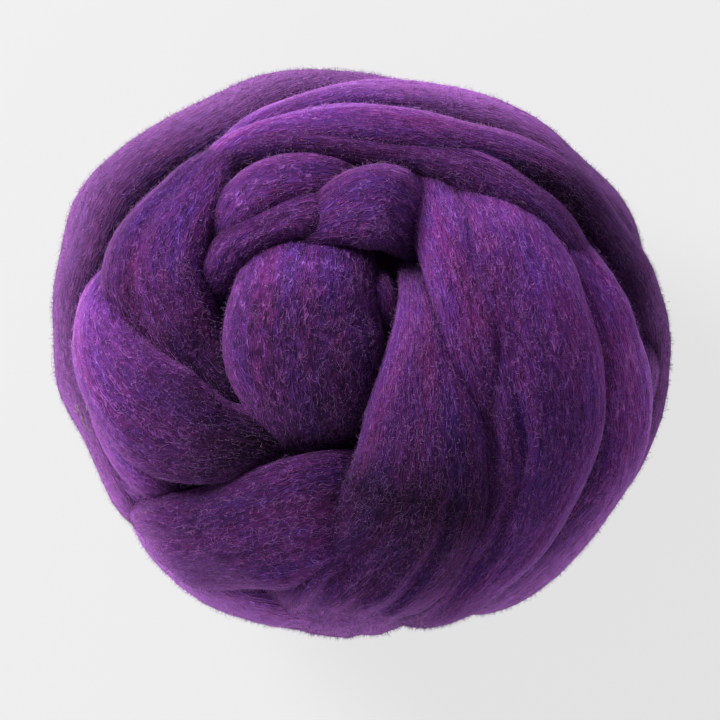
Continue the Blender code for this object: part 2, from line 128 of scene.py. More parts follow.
# ---- turns round the rim ------------------------------------------------------------------
# each station: bearing in degrees, rise over the widest level, lift, width, thickness
RIM_TURNS = {
    "rim_left": [
        (236, -9, -12, 16, 10), (226, -5, -6, 20, 10), (215, -2, -1.2, 25, 12),
        (202, -1, -0.2, 26, 12), (188, 0, -0.2, 23, 13), (174, 1.5, -1, 23, 13),
        (162, 5, -1, 24, 14), (150, 7, -0.6, 25, 15), (138, 7, -0.4, 25, 15),
        (125, 5.5, -0.8, 25, 14), (110, 2, 0.3, 24, 13), (94, -3, 0.8, 22, 12),
        (79, -8, -1, 20, 12), (64, -12, -6, 18, 11)],
    "top_outer": [
        (139, 22, -9, 9, 8), (128, 20, -3, 9, 9), (115, 18.5, 0.2, 10, 10),
        (101, 16, 1, 12, 11), (87, 12, 0.8, 15, 12), (73, 7.5, 0.8, 18, 12),
        (60, 5, 0.4, 18, 13), (49, 3, 0, 18, 13), (38, 1, 0, 18, 13), (28, -1, 0.7, 17, 13),
        (18, -5, -1.2, 15, 12), (7, -10, -6, 14, 11)],
    "top_inner": [
        (137, 22, -9, 9, 8), (127, 20.5, -1, 9, 9), (113, 20.5, 1, 10, 10),
        (98, 21.5, 2, 12, 11), (82, 21.5, 2.5, 13, 12), (66, 21, 2.5, 13, 12),
        (52, 19, 2.5, 12, 12), (39, 15, 2.3, 11, 12), (27, 10.5, 0.8, 11, 12),
        (16, 4, 0, 10, 12), (5, -3, 0.3, 11, 12), (355, -7, 1, 13, 12),
        (343, -9, 1.2, 16, 12), (331, -9, 0.5, 18, 12), (320, -9, 0.5, 18, 12),
        (308, -11, 0, 18, 12), (295, -14, -4, 16, 12)],
    "right_band": [
        (60, 20.5, -10, 9, 9), (46, 22, -6.5, 11, 10), (33, 22.5, -3, 14, 11),
        (20, 22.5, -0.8, 18, 12), (6, 22, 0.3, 21, 13), (354, 19, 0.5, 22, 13),
        (343, 14.5, 0.6, 21, 13),
        (331.5, 9.5, 0, 22, 13), (320, 6.5, -0.8, 22, 13), (308.5, 3.5, -0.6, 20, 12),
        (296.5, -2, -0.6, 17, 12), (284, -12, -4, 12, 11), (270, -18, -9, 12, 10)],
    "rim_low": [
        (182, -16, -9, 10, 10), (196, -11, -5.5, 13, 10), (210, -7, -2.2, 17, 11),
        (223, -3, 0.2, 21, 12), (236, 1, 1.4, 24, 12), (248, 4, 1.3, 25, 12),
        (259, 3.5, -0.6, 24, 12), (272, 1, -2.2, 22, 12), (286, -1, -1.6, 19, 11),
        (304, -10, -8, 14, 10)],
}

# ---- full rings below the rim, and straight crossings under the ball ---------------------
# name, drop under the widest level, lift, width, thickness, bearings of its start and end in
# degrees, tilt in mm and the tilt's phase in radians
RINGS = [
    ("ring_upper", 13, -3, 24, 13, 100, 470, 5, 1.0),
    ("ring_lower", 25, -2, 22, 13, 20, 400, 5, 3.5),
]
RING_STATIONS = 22
RING_WOBBLE = 0.8
RING_DIVE, RING_DIVE_STATIONS = 6.0, 2    # how deep a ring's end tucks in, and over how many
# name, bearing of its run in degrees, distance from the middle, lift, width, thickness
CROSSINGS = [
    ("under_middle", 28, -1, 0.5, 32, 13),
    ("under_far", 36, 27, -1.5, 30, 13),
    ("under_near", 20, -28, -1.5, 30, 13),
]
CROSSING_STATIONS = 9
CROSSING_HALF = 62.0
CROSSING_ARC = 0.49                       # half turns; its stations crowd towards its ends
CROSSING_DIVE, CROSSING_DIVES_FROM = 25.0, 0.72

# ---- how a turn's skin is made (mm) --------------------------------------------------------
SQUARENESS = 0.85                   # of a section: 1 is an ellipse, less is squarer
TIP_LENGTH, TIP_BLUNTNESS = 10.0, 0.02    # the tip closes to this share of the section
STEP_ALONG, STEP_ROUND = 1.6, 0.48
FEWEST_ROWS = 24
MEASURING_ROWS, FINER_ROWS = 200, 3       # for a turn's length, and for even steps along it
SECTION_ANGLES = 1441               # fine steps that a section's own steps are picked from
INNER_COARSER = 3.0                 # the side that faces the core has wider steps
OUTER_FROM, OUTER_TO = -35, 215     # degrees round the section; 90 faces out

# combing: ridges along the roving, by their spacing, height and how fast they wander
COMBING = [(9.0, 0.32, 70), (5.2, 0.20, 46), (3.0, 0.13, 31), (1.7, 0.07, 21)]
RIDGE_MIX = (0.8, 1.0, 1.3)         # every spacing comes in three widths
RIDGE_SHARE = 0.6                   # of its height that each of the three has
RIDGE_DRIFT = 1.6                   # radians that a ridge drifts aside and back
SWELL_MEAN, SWELL_WAVE = 0.6, 0.7   # a ridge's mean height; its swells' share of the wander
WANDER_MIX, UNEVEN_MIX = (0.8, 1.3), (0.8, 1.25)
# slow unevenness: the length of its waves along the turn, and its height
UNEVEN = [(37, 0.35), (19, 0.22)]
UNEVEN_SHARE, UNEVEN_LOBES = 0.5, (1, 2, 3)
ANY_PHASE = (0, 6.3)                # radians
# how strongly a turn is combed, as a share of COMBING; the others take COMBED
COMBED = 0.55
COMBED_BY_TURN = {
    "centre_fold": 0.18, "left_lobe": 0.25, "left_fan": 0.3, "rim_left": 0.25, "low_lobe": 0.4,
    "crown_knob": 0.3, "crown_lobe": 0.3, "middle_fan": 0.38, "right_fan": 0.40,
    "right_fan_edge": 0.3, "right_band": 0.45, "top_inner": 0.4, "top_outer": 0.4,
    "rim_low": 0.35,
}

# how light each turn is painted at its beginning, middle and end, as a share of the usual: partly
# the dye, partly painted light and shade
DYE_AND_SHADE_STRETCHES = (0.14, 0.42, 0.85)  # where along a turn these three hold
DYE_AND_SHADE_BY_TURN = {
    "centre_fold": (2.5, 0.90, 0.32), "crown_band": (1.1, 1.1, 1.1),
    "crown_knob": (1.1, 1.1, 1.2), "crown_lobe": (1.6, 1.4, 1.0),
    "left_fan": (1.5, 1.35, 0.30), "left_lobe": (3.0, 1.35, 0.12),
    "left_ply_upper": (1.5, 1.2, 0.9), "left_ply_lower": (2.0, 1.5, 1.0),
    "middle_fan": (2.1, 0.20, 1.4), "low_lobe": (0.85, 0.55, 1.7),
    "right_fan": (1.75, 0.95, 0.8), "right_fan_edge": (1.60, 0.75, 0.8),
    "top_thin": (0.95, 0.7, 0.8), "top_outer": (1.1, 1.25, 0.75), "top_inner": (1.8, 0.25, 1.9),
    "right_band": (1.8, 1.8, 1.2), "rim_left": (1.05, 0.70, 1.2), "rim_low": (1.0, 2.0, 1.2),
}
# and how light on a turn's left and right side, as seen along it from outside the ball: partly the
# dye, partly painted light and shade
DYE_AND_SHADE_SIDES = (-0.9, 0.9)             # where across a turn these two hold
DYE_AND_SHADE_ACROSS = {
    "centre_fold": (0.8, 1.35), "rim_left": (1.3, 0.60), "right_fan": (1.7, 0.75),
    "right_fan_edge": (1.2, 1.2), "left_fan": (1.15, 0.6), "low_lobe": (1.6, 0.9),
    "top_outer": (2.5, 0.65), "top_inner": (1.7, 0.65), "right_band": (1.5, 0.65),
}

# how far a turn's fibres are felted every way, against combed along it
FELTED = 0.1
FELTED_BY_TURN = {
    "centre_fold": 0.9, "left_fan": 0.7, "left_lobe": 0.7, "crown_band": 0.7, "crown_knob": 0.6,
    "crown_lobe": 0.6, "low_lobe": 0.5, "middle_fan": 0.4, "right_fan": 0.3,
}

# folds pressed into a turn: where across (-1 to 1), how wide and deep, from and to along it
FOLD_RUN_IN = 0.12                  # share of the turn's length over which a fold sets in
FOLD_FACING = 3.0                   # how soon it is at full depth, away from the section's sides
SHOULDER_HEIGHT, SHOULDER_AT = 0.35, 2.2    # beside a fold, in depths and widths of it
FOLDS = {
    "right_fan": [(0.50, 1.5, 1.0, 0.30, 0.95)],
    "middle_fan": [(-0.35, 1.6, 0.8, 0.35, 0.82), (0.35, 1.8, 1.0, 0.40, 0.82)],
    "left_fan": [(0.10, 1.6, 0.6, 0.25, 0.85)],
    "low_lobe": [(0.40, 1.8, 0.8, 0.25, 0.80)],
}

# which turns make up one piece
PIECES = {
    "crown_turns": ["centre_fold", "centre_sliver", "crown_band", "crown_lobe", "crown_knob",
                    "left_fan", "left_lobe", "left_ply_upper", "left_ply_lower", "top_thin"],
    "fan_turns": ["low_lobe", "middle_fan", "right_fan_edge", "right_fan"],
    "rim_turns": ["rim_left", "top_outer", "top_inner", "right_band", "rim_low"],
    "side_turns": ["ring_upper", "ring_lower", "under_middle", "under_far", "under_near"],
}

# ---- loose fibres ---------------------------------------------------------------------------
# sway is in radians over waves of the given length, and spread in radians off the combed way;
# height is over the skin and rise off it, and arched is the share that comes back down
FIBRES = {
    "combed_fibres": {"count": 4500, "length": 3.4, "steps": 5, "sway": 0.80, "wave": 2.4,
                      "spread": 0.28, "height": 0.05, "rise": 0.10, "arched": 0.5,
                      "thick": 0.075, "paleness": 0.60},
    "felted_fibres": {"count": 7400, "length": 1.8, "steps": 3, "sway": 1.20, "wave": 2.2,
                      "spread": 0.80, "height": 0.04, "rise": 0.40, "arched": 0.6,
                      "thick": 0.060, "paleness": 0.65},
    "halo_fuzz": {"count": 4600, "length": 2.2, "steps": 2, "sway": 0.80, "wave": 3.4,
                  "spread": 1.50, "height": 0.00, "rise": 1.60, "arched": 0.2,
                  "thick": 0.060, "paleness": 0.80},
    "curly_strays": {"count": 420, "length": 9.0, "steps": 16, "sway": 1.45, "wave": 3.2,
                     "spread": 1.00, "height": 0.10, "rise": 0.90, "arched": 0.8,
                     "thick": 0.060, "paleness": 0.85},
}
# how far single fibres differ from these, as shares
LENGTH_MIX, SWAY_MIX, WAVE_MIX, THICK_MIX = (0.55, 1.35), (0.5, 1.3), (0.7, 1.4), (0.7, 1.25)
RISE_MIX, RISE_SKEW, LIFTING_SKEW = (0.2, 1), 1.5, 1.6    # the skews are powers; most rise little
FIBRE_PALENESS, NAP_PALENESS = (1.6, 2.2), (1.8, 1.8)     # the bend of each beta spread
LEAST_HEIGHT, NAP_LEAST_HEIGHT = 0.06, 0.02               # mm over what the ball rests on
NAP = {"count": 44000, "length": (0.5, 1.6), "thick": (0.07, 0.11), "lean": (0.25, 1.1),
       "paleness": 0.6, "to_rim": 0.6, "rooted": 0.05}
# a few undyed fibres caught in the left side: they start about a place in plan, from a
# little under the widest level
PALE_STRAYS = {"place": (-62.6, -11.0), "about": 3.4, "under": 4.0, "searched": 9000,
               "count": 18, "length": 7.0, "steps": 14, "sway": 1.2, "wave": 3.2,
               "spread": 0.4, "height": 0.15, "rise": 0.5, "arched": 0.8,
               "thick": (0.10, 0.17)}
# what is left to chance starts from these numbers; a turn's own also picks its stretch of dye
OPENNESS_SEED, NAP_SEED, PALE_SEED, FIBRES_SEED, CORE_SEED = 41, 77, 311, 500, 97


# ---- the carrier ----------------------------------------------------------------------
def reach(bearing):
    """Share of the plain ellipse at bearings in degrees, a smooth closed curve through REACH."""
    b = np.array([row[0] for row in REACH], float)
    v = np.array([row[1] for row in REACH], float)
    b = np.concatenate([b[-2:] - 360, b, b[:2] + 360])
    v = np.concatenate([v[-2:], v, v[:2]])
    x = np.mod(np.asarray(bearing, float), 360)
    i = np.clip(np.searchsorted(b, x, side="right") - 1, 1, len(b) - 3)
    span = b[i + 1] - b[i]
    t = (x - b[i]) / span
    rise_in = (v[i + 1] - v[i - 1]) / (b[i + 1] - b[i - 1]) * span
    rise_out = (v[i + 2] - v[i]) / (b[i + 2] - b[i]) * span
    return ((2 * t**3 - 3 * t**2 + 1) * v[i] + (t**3 - 2 * t**2 + t) * rise_in
            + (3 * t**2 - 2 * t**3) * v[i + 1] + (t**3 - t**2) * rise_out)


def unwarp(points):
    """Points relative to the carrier's middle with the lopsided reach taken out."""
    q = points - np.array([0.0, 0.0, WIDEST])
    share = reach(np.degrees(np.arctan2(q[:, 1], q[:, 0])))
    q[:, 0] /= share
    q[:, 1] /= share
    return q, np.where(q[:, 2] >= 0, CROWN, BELLY)


def outward(points):
    """The way straight out of the carrier at each of the points."""
    q, half_z = unwarp(points)
    return unit(np.stack([q[:, 0] / HALF_X**2, q[:, 1] / HALF_Y**2, q[:, 2] / half_z**2], axis=1))


def shell(points):
    """Which shell a point lies on: 1 is the carrier itself."""
    q, half_z = unwarp(points)
    return np.sqrt((q[:, 0] / HALF_X)**2 + (q[:, 1] / HALF_Y)**2 + (q[:, 2] / half_z)**2)


def lifted(x, y, z, lift):
    """A point of the carrier, moved straight out of it by lift."""
    p = np.array([[x, y, z]], float)
    return (p + outward(p) * lift)[0]


def from_plan(x, y, lift, side=1):
    """A station given in plan, on the crown (side 1) or under the belly (side -1)."""
    share = float(reach(math.degrees(math.atan2(y, x))))
    s = math.hypot(x / HALF_X, y / HALF_Y) / share
    if s > 1:                                   # folded out, past the rim
        k, s, side = (2 - s) / s, 2 - s, -side
        x, y = x * k, y * k
    half_z = CROWN if side > 0 else BELLY
    return lifted(x, y, WIDEST + side * half_z * math.sqrt(max(0.0, 1 - s * s)), lift)


def from_rim(bearing, rise, lift):
    """A station given by its bearing and its rise over the widest level."""
    a = math.radians(bearing)
    half_z = CROWN if rise > 0 else BELLY
    r = math.sqrt(1 - (rise / half_z)**2) * float(reach(bearing))
    r /= math.hypot(math.cos(a) / HALF_X, math.sin(a) / HALF_Y)
    return lifted(r * math.cos(a), r * math.sin(a), WIDEST + rise, lift)


# ---- stations of every turn -----------------------------------------------------------
def ring_stations(drop, lift, width, thick, start, end, tilt, phase):
    """A full ring below the rim; both its ends tuck in."""
    rows = []
    for i in range(RING_STATIONS):
        bearing = start + (end - start) * i / (RING_STATIONS - 1)
        a = math.radians(bearing)
        to_end = min(i, RING_STATIONS - 1 - i)
        dive = RING_DIVE * max(0.0, 1 - to_end / RING_DIVE_STATIONS)
        height = -(drop + tilt * math.sin(a - phase))
        here = lift + RING_WOBBLE * math.sin(3 * a + phase) - dive
        rows.append((*from_rim(bearing, height, here), width, thick))
    return rows


def crossing_stations(bearing, offset, lift, width, thick):
    """A straight run under the ball; both its ends tuck in."""
    a = math.radians(bearing)
    half = math.sqrt(1 - (offset / HALF_Y)**2) * CROSSING_HALF
    rows = []
    for i in range(CROSSING_STATIONS):
        u = 2 * i / (CROSSING_STATIONS - 1) - 1
        along = half * math.sin(u * CROSSING_ARC * math.pi)
        x = along * math.cos(a) - offset * math.sin(a)
        y = (along * math.sin(a) + offset * math.cos(a)) * HALF_Y / HALF_X
        dive = CROSSING_DIVE * max(0.0, abs(u) - CROSSING_DIVES_FROM)
        rows.append((*from_plan(x, y, lift - dive, side=-1), width, thick))
    return rows


def all_turns():
    """Name and stations (x, y, z, width, thick) of every turn of the ball."""
    turns = {}
    for name, rows in CROWN_TURNS.items():
        turns[name] = [(*from_plan(x, y, lift), w, t) for x, y, lift, w, t in rows]
    for name, rows in RIM_TURNS.items():
        turns[name] = [(*from_rim(b, rise, lift), w, t) for b, rise, lift, w, t in rows]
    for name, *sizes in RINGS:
        turns[name] = ring_stations(*sizes)
    for name, *sizes in CROSSINGS:
        turns[name] = crossing_stations(*sizes)
    return turns


# ---- sweeping a turn --------------------------------------------------------------------
def unit(v):
    """Vectors brought to a length of 1."""
    return v / np.maximum(np.linalg.norm(v, axis=-1, keepdims=True), 1e-9)


def through(stations, count):
    """A smooth run through the stations, evenly spaced along its length."""
    p = np.array(stations, float)
    gaps = np.sqrt(np.linalg.norm(np.diff(p[:, :3], axis=0), axis=1))
    knots = np.concatenate([[0], np.cumsum(gaps)])
    p = np.vstack([2 * p[0] - p[1], p, 2 * p[-1] - p[-2]])
    k = np.concatenate([[2 * knots[0] - knots[1]], knots, [2 * knots[-1] - knots[-2]]])
    u = np.linspace(knots[0], knots[-1], FINER_ROWS * count)
    i = np.clip(np.searchsorted(knots, u, side="right") - 1, 0, len(knots) - 2)
    p0, p1, p2, p3 = (p[i + j] for j in range(4))
    k0, k1, k2, k3 = (k[i + j][:, None] for j in range(4))
    u = u[:, None]
    a1 = ((k1 - u) * p0 + (u - k0) * p1) / (k1 - k0)
    a2 = ((k2 - u) * p1 + (u - k1) * p2) / (k2 - k1)
    a3 = ((k3 - u) * p2 + (u - k2) * p3) / (k3 - k2)
    b1 = ((k2 - u) * a1 + (u - k0) * a2) / (k2 - k0)
    b2 = ((k3 - u) * a2 + (u - k1) * a3) / (k3 - k1)
    run = ((k2 - u) * b1 + (u - k1) * b2) / (k2 - k1)
    pieces = np.linalg.norm(np.diff(run[:, :3], axis=0), axis=1)
    length = np.concatenate([[0], np.cumsum(pieces)])
    even = np.linspace(0, length[-1], count)
    columns = [np.interp(even, length, column) for column in run.T]
    return np.stack(columns, axis=1), even


def section_shape(angle):
    """How far across and how far up a section's point is, as shares of its half sizes."""
    c, s = np.cos(angle), np.sin(angle)
    return np.sign(c) * np.abs(c)**SQUARENESS, np.sign(s) * np.abs(s)**SQUARENESS


def section_angles(width, thick):
    """Angles round a section, close together outside and wider apart inside, and the way
    round it in mm at each of them; the seam is in the middle of the inside."""
    fine = np.radians(np.linspace(-90, 270, SECTION_ANGLES))
    side, up = section_shape(fine)
    pieces = np.hypot(np.diff(side) * width / 2, np.diff(up) * thick / 2)
    way = np.concatenate([[0], np.cumsum(pieces)])
    outer = (fine > math.radians(OUTER_FROM)) & (fine < math.radians(OUTER_TO))
    steps = np.diff(way) * np.where(outer[1:], 1, 1 / INNER_COARSER)
    effort = np.concatenate([[0], np.cumsum(steps)])
    count = int(round(effort[-1] / STEP_ROUND))
    spots = np.arange(count) * effort[-1] / count
    return np.interp(spots, effort, fine), np.interp(spots, effort, way), way[-1]


def combed_relief(rng, along, way, girth, share_of_comb):
    """Ridges that run along the turn and a slow unevenness over them, in mm."""
    u, v = along[:, None], (way / girth * 2 * np.pi)[None, :]
    relief = np.zeros((len(along), len(way)))
    for spacing, height, wander in COMBING:
        for share in RIDGE_MIX:
            waves = max(2, round(girth / spacing * share))
            wandering = 2 * np.pi * u / (wander * rng.uniform(*WANDER_MIX))
            drift = RIDGE_DRIFT * np.sin(wandering + rng.uniform(*ANY_PHASE))
            swelling = 2 * np.pi * u / (wander * SWELL_WAVE) + rng.uniform(*ANY_PHASE)
            swell = SWELL_MEAN + (1 - SWELL_MEAN) * np.sin(swelling)
            ridge = np.sin(waves * v + drift + rng.uniform(*ANY_PHASE))
            relief += share_of_comb * height * RIDGE_SHARE * swell * ridge
    for wave, height in UNEVEN:
        for lobes in UNEVEN_LOBES:
            slow = 2 * np.pi * u / (wave * rng.uniform(*UNEVEN_MIX))
            relief += height * UNEVEN_SHARE * np.sin(slow + lobes * v + rng.uniform(*ANY_PHASE))
    return relief


def folded_relief(name, along, angle, half_width):
    """The folds of FOLDS as grooves between soft shoulders, in mm."""
    share = (along / along[-1])[:, None]
    across = section_shape(angle)[0][None, :]
    relief = np.zeros((len(along), len(angle)))
    facing_out = np.clip(np.sin(angle) * FOLD_FACING, 0, 1)[None, :]
    for place, width, depth, begin, end in FOLDS.get(name, ()):
        off = (across - place) * half_width[:, None] / width
        here = np.clip((share - begin) / FOLD_RUN_IN, 0, 1)
        here = here * np.clip((end - share) / FOLD_RUN_IN, 0, 1)
        here = here * here * (3 - 2 * here) * facing_out
        shoulders = SHOULDER_HEIGHT * np.exp(-(np.abs(off) - SHOULDER_AT)**2)
        relief += here * depth * (shoulders - np.exp(-off**2))
    return relief


def wound_turn(name, stations, seed):
    """One turn's skin: its grid of points with their normals, the way along and round it, how light
    it is painted by the dye and by painted light and shade, and how it is felted."""
    length = through(stations, MEASURING_ROWS)[1][-1]
    run, even = through(stations, max(FEWEST_ROWS, int(length / STEP_ALONG)))
    middle, width, thick = run[:, :3], run[:, 3], run[:, 4]
    widest = np.argmax(width)
    angle, way, girth = section_angles(width[widest], thick[widest])
    rows, cols = len(run), len(angle)
    across = unit(np.cross(unit(np.gradient(middle, axis=0)), outward(middle)))
    to_end = np.clip(np.minimum(even, even[-1] - even) / TIP_LENGTH, 0, 1)
    closing = np.maximum(np.sqrt(1 - (1 - to_end)**2), TIP_BLUNTNESS)
    side, up = section_shape(angle)
    half_w, half_t = width * closing / 2, thick * closing / 2
    points = (middle[:, None, :] + across[:, None, :] * (half_w[:, None] * side)[..., None])
    points = points.reshape(-1, 3)
    centre = np.array([0.0, 0.0, WIDEST])
    level = np.repeat(shell(middle), cols)
    for _ in range(2):                          # lay the width along the middle's own shell
        points = centre + (points - centre) * (level / shell(points))[:, None]
    points = points + outward(points) * (half_t[:, None] * up).reshape(-1)[:, None]
    grid = points.reshape(rows, cols, 3)
    relief = combed_relief(np.random.default_rng(seed), even, way, girth,
                           COMBED_BY_TURN.get(name, COMBED))
    relief = relief * closing[:, None] * (width[:, None] / width[widest])**0.5
    relief += folded_relief(name, even, angle, half_w) * closing[:, None]
    grid = grid + grid_normals(grid) * relief[..., None]
    grid[..., 2] = np.maximum(grid[..., 2], 0)  # nothing goes through what it rests on
    return {"name": name, "grid": grid, "normals": grid_normals(grid), "along": even,
            "way": way, "girth": girth, "seed": seed, "dye": dyed(name, even, side),
            "felt": FELTED_BY_TURN.get(name, FELTED)}


def dyed(name, along, side):
    """How light each point of a turn's grid is painted: partly the dye, partly painted light and
    shade.
    """
    values = np.interp(along / along[-1], DYE_AND_SHADE_STRETCHES, DYE_AND_SHADE_BY_TURN.get(name, (1, 1, 1)))
    across = np.interp(side, DYE_AND_SHADE_SIDES, DYE_AND_SHADE_ACROSS.get(name, (1, 1)))
    return values[:, None] * across[None, :]


def grid_normals(grid):
    """Normals of a grid that closes round its columns."""
    down = np.gradient(grid, axis=0)
    around = np.roll(grid, -1, axis=1) - np.roll(grid, 1, axis=1)
    return unit(np.cross(down, around))


# ---- meshes -----------------------------------------------------------------------------
LAY_APART = np.array([371.0, 93.0])     # mm from one turn's stretch of the dye to the next
SHELF_GAP, CAP_ROOM = 1.0, 2.0          # mm between the laid-out turns, and beyond their ends
SHELF_ROOM = (1.15, 1.3, 1.5, 1.8, 2.4, 3.2)    # areas to try for the square, in turns' areas
CAP_SPOTS, CAP_SIZE = (0.6, 1.2), 0.3   # mm: where beyond a turn its two caps are laid out
CORNER = np.array([[0.0, 0.0], [1.0, 0.0], [0.0, 1.0]])
CORE_ROWS, CORE_COLS, CORE_LENGTH = 44, 88, 160.0
POLE_GAP = 0.02                         # radians from a pole of the core to its nearest row


def make_piece(name, points, quads, triangles, maps, material, **numbers):
    """A mesh object from arrays: points in mm, faces, one UV pair a corner for each map, and
    one value a point for each of numbers."""
    mesh = bpy.data.meshes.new(name)
    corners = np.concatenate([quads.ravel(), triangles.ravel()]).astype(np.int32)
    sizes = np.concatenate([np.full(len(quads), 4), np.full(len(triangles), 3)]).astype(np.int32)
    starts = np.concatenate([[0], np.cumsum(sizes)[:-1]]).astype(np.int32)
    placed_points = (points + np.array(PLAN_SHIFT)) * MM
    mesh.vertices.add(len(points))
    mesh.vertices.foreach_set("co", placed_points.astype(np.float32).ravel())
    mesh.loops.add(len(corners))
    mesh.loops.foreach_set("vertex_index", corners)
    mesh.polygons.add(len(sizes))
    mesh.polygons.foreach_set("loop_start", starts)
    mesh.polygons.foreach_set("loop_total", sizes)
    mesh.polygons.foreach_set("use_smooth", np.ones(len(sizes), bool))
    mesh.update(calc_edges=True)
    for map_name, places in maps.items():
        layer = mesh.uv_layers.new(name=map_name)
        layer.data.foreach_set("uv", places.astype(np.float32).ravel())
    for label, values in numbers.items():
        carried = mesh.attributes.new(label, "FLOAT", "POINT")
        carried.data.foreach_set("value", values.astype(np.float32))
    mesh.validate()
    mesh.materials.append(material)
    piece = bpy.data.objects.new(name, mesh)
    bpy.context.scene.collection.objects.link(piece)
    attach(piece, BODY)
    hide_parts(NODE)


def grid_quads(rows, cols):
    """The row and column of every quad of a grid that closes round its columns, and the quads."""
    i, j = np.meshgrid(np.arange(rows - 1), np.arange(cols), indexing="ij")
    here, ahead, beside = i * cols, (i + 1) * cols, (j + 1) % cols
    quads = np.stack([here + j, ahead + j, ahead + beside, here + beside], axis=-1)
    return i, j, quads.reshape(-1, 4)


def turn_faces(turn):
    """Faces of one turn, with the place along and round it in mm at every corner."""
    rows, cols = turn["grid"].shape[:2]
    i, j, quads = grid_quads(rows, cols)
    along = np.stack([turn["along"][i], turn["along"][i + 1], turn["along"][i + 1],
                      turn["along"][i]], axis=-1)
    way = np.append(turn["way"], turn["girth"])
    around = np.stack([way[j], way[j], way[j + 1], way[j + 1]], axis=-1)
    places = np.stack([along, around], axis=-1).reshape(-1, 2)
    fan = np.arange(1, cols - 1)
    head = np.stack([np.zeros_like(fan), fan, fan + 1], axis=1)
    last = (rows - 1) * cols
    tail = np.stack([np.full_like(fan, last), last + fan + 1, last + fan], axis=1)
    return quads, np.concatenate([head, tail]), places


def shelves(turns):
    """Where each turn's rectangle sits when all of them are laid out in one square."""
    area = sum(t["along"][-1] * t["girth"] for t in turns)
    least = max(max(t["along"][-1] + CAP_ROOM + SHELF_GAP, t["girth"]) for t in turns)
    for room in SHELF_ROOM:
        size = max(math.sqrt(area * room), least)
        x = y = tallest = 0.0
        spots = {}
        for turn in sorted(turns, key=lambda t: -t["girth"]):
            long = turn["along"][-1] + CAP_ROOM
            if x + long > size:
                x, y, tallest = 0.0, y + tallest + SHELF_GAP, 0.0
            spots[turn["name"]] = (x, y)
            x, tallest = x + long + SHELF_GAP, max(tallest, turn["girth"])
        if y + tallest <= size:
            return spots, size
    raise ValueError("the turns don't fit their square")


def turn_piece(name, turns, material):
    """One piece of several turns: on the map Lay each has its own stretch of the dye, and on
    OFBake all of them lie side by side."""
    spots, size = shelves(turns)
    points, quads, triangles = [], [], []
    lay, laid_out, lay_caps, caps_out = [], [], [], []
    first = 0
    for turn in turns:
        q, t, places = turn_faces(turn)
        offset = turn["seed"] * LAY_APART
        spot = np.array(spots[turn["name"]])
        points.append(turn["grid"].reshape(-1, 3))
        quads.append(q + first)
        triangles.append(t + first)
        lay.append((places + offset) * MM)
        laid_out.append((places + spot) / size)
        cap = np.tile(CORNER, (len(t) // 2, 1))
        for beyond in CAP_SPOTS:
            lay_caps.append((offset + cap) * MM)
            at = spot + [turn["along"][-1] + beyond, 1.0]
            caps_out.append((at + cap * CAP_SIZE) / size)
        first += len(points[-1])
    maps = {"Lay": np.concatenate(lay + lay_caps), "OFBake": np.concatenate(laid_out + caps_out)}
    openness = np.concatenate([turn["openness"].reshape(-1) for turn in turns])
    dye = np.concatenate([turn["dye"].reshape(-1) for turn in turns])
    felt = np.concatenate([np.full(turn["dye"].size, turn["felt"]) for turn in turns])
    make_piece(name, np.concatenate(points), np.concatenate(quads), np.concatenate(triangles),
               maps, material, openness=openness, dye=dye, felt=felt)


def core_turn():
    """The filled inside of the ball, pole to pole, as one more grid."""
    fall = np.linspace(POLE_GAP, np.pi - POLE_GAP, CORE_ROWS)
    bearing = np.linspace(0, 2 * np.pi, CORE_COLS, endpoint=False)
    share = reach(np.degrees(bearing))
    x = (HALF_X - CORE_INSET) * np.outer(np.sin(fall), np.cos(bearing) * share)
    y = (HALF_Y - CORE_INSET) * np.outer(np.sin(fall), np.sin(bearing) * share)
    half_z = np.where(np.cos(fall) > 0, CROWN, BELLY) - CORE_INSET
    z = WIDEST + np.repeat((half_z * np.cos(fall))[:, None], CORE_COLS, axis=1)
    girth = 2 * np.pi * (HALF_X + HALF_Y) / 2
    return {"name": "core", "grid": np.stack([x, y, z], axis=2), "seed": CORE_SEED,
            "girth": girth, "along": np.linspace(0, CORE_LENGTH, CORE_ROWS),
            "way": bearing / (2 * np.pi) * girth, "felt": FELTED,
            "openness": np.zeros((CORE_ROWS, CORE_COLS)), "dye": np.ones((CORE_ROWS, CORE_COLS))}


# ---- how open to the outside the skin is ----------------------------------------------------
OPEN_ROWS, OPEN_COLS = 2, 4         # every how many rows and columns it is measured
OPEN_RAYS = 20
OPEN_START, OPEN_REACH = 0.7, 22.0  # mm off the skin and on from there
GOLDEN_ANGLE = 2.39996              # radians; spreads the rays evenly
OFF_AXIS = 0.01                     # so that skin that faces straight out has a sideways too


# the materials paint shade from this: the less sky a point sees, the darker it is painted
def measure_openness(turns, tree):
    """Gives every turn the share of the sky that each point of its skin sees."""
    rng = np.random.default_rng(OPENNESS_SEED)
    tilt = np.sqrt((np.arange(OPEN_RAYS) + 0.5) / OPEN_RAYS)
    spin = np.arange(OPEN_RAYS) * GOLDEN_ANGLE
    for turn in turns:
        grid, normals = (turn[what][::OPEN_ROWS, ::OPEN_COLS] for what in ("grid", "normals"))
        rows, cols = grid.shape[:2]
        share = np.zeros((rows, cols))
        out = outward(grid.reshape(-1, 3)).reshape(grid.shape)
        side = unit(np.cross(normals, out + OFF_AXIS))
        other = np.cross(normals, side)
        for i in range(rows):
            for j in range(cols):
                start = Vector(grid[i, j] + normals[i, j] * OPEN_START)
                turned = spin + rng.uniform(*ANY_PHASE)
                ways = (side[i, j] * (tilt * np.cos(turned))[:, None]
                        + other[i, j] * (tilt * np.sin(turned))[:, None]
                        + normals[i, j] * np.sqrt(1 - tilt**2)[:, None])
                hits = [tree.ray_cast(start, Vector(way), OPEN_REACH)[0] for way in ways]
                share[i, j] = hits.count(None) / OPEN_RAYS
        turn["openness"] = spread_back(share, turn["grid"].shape[:2])


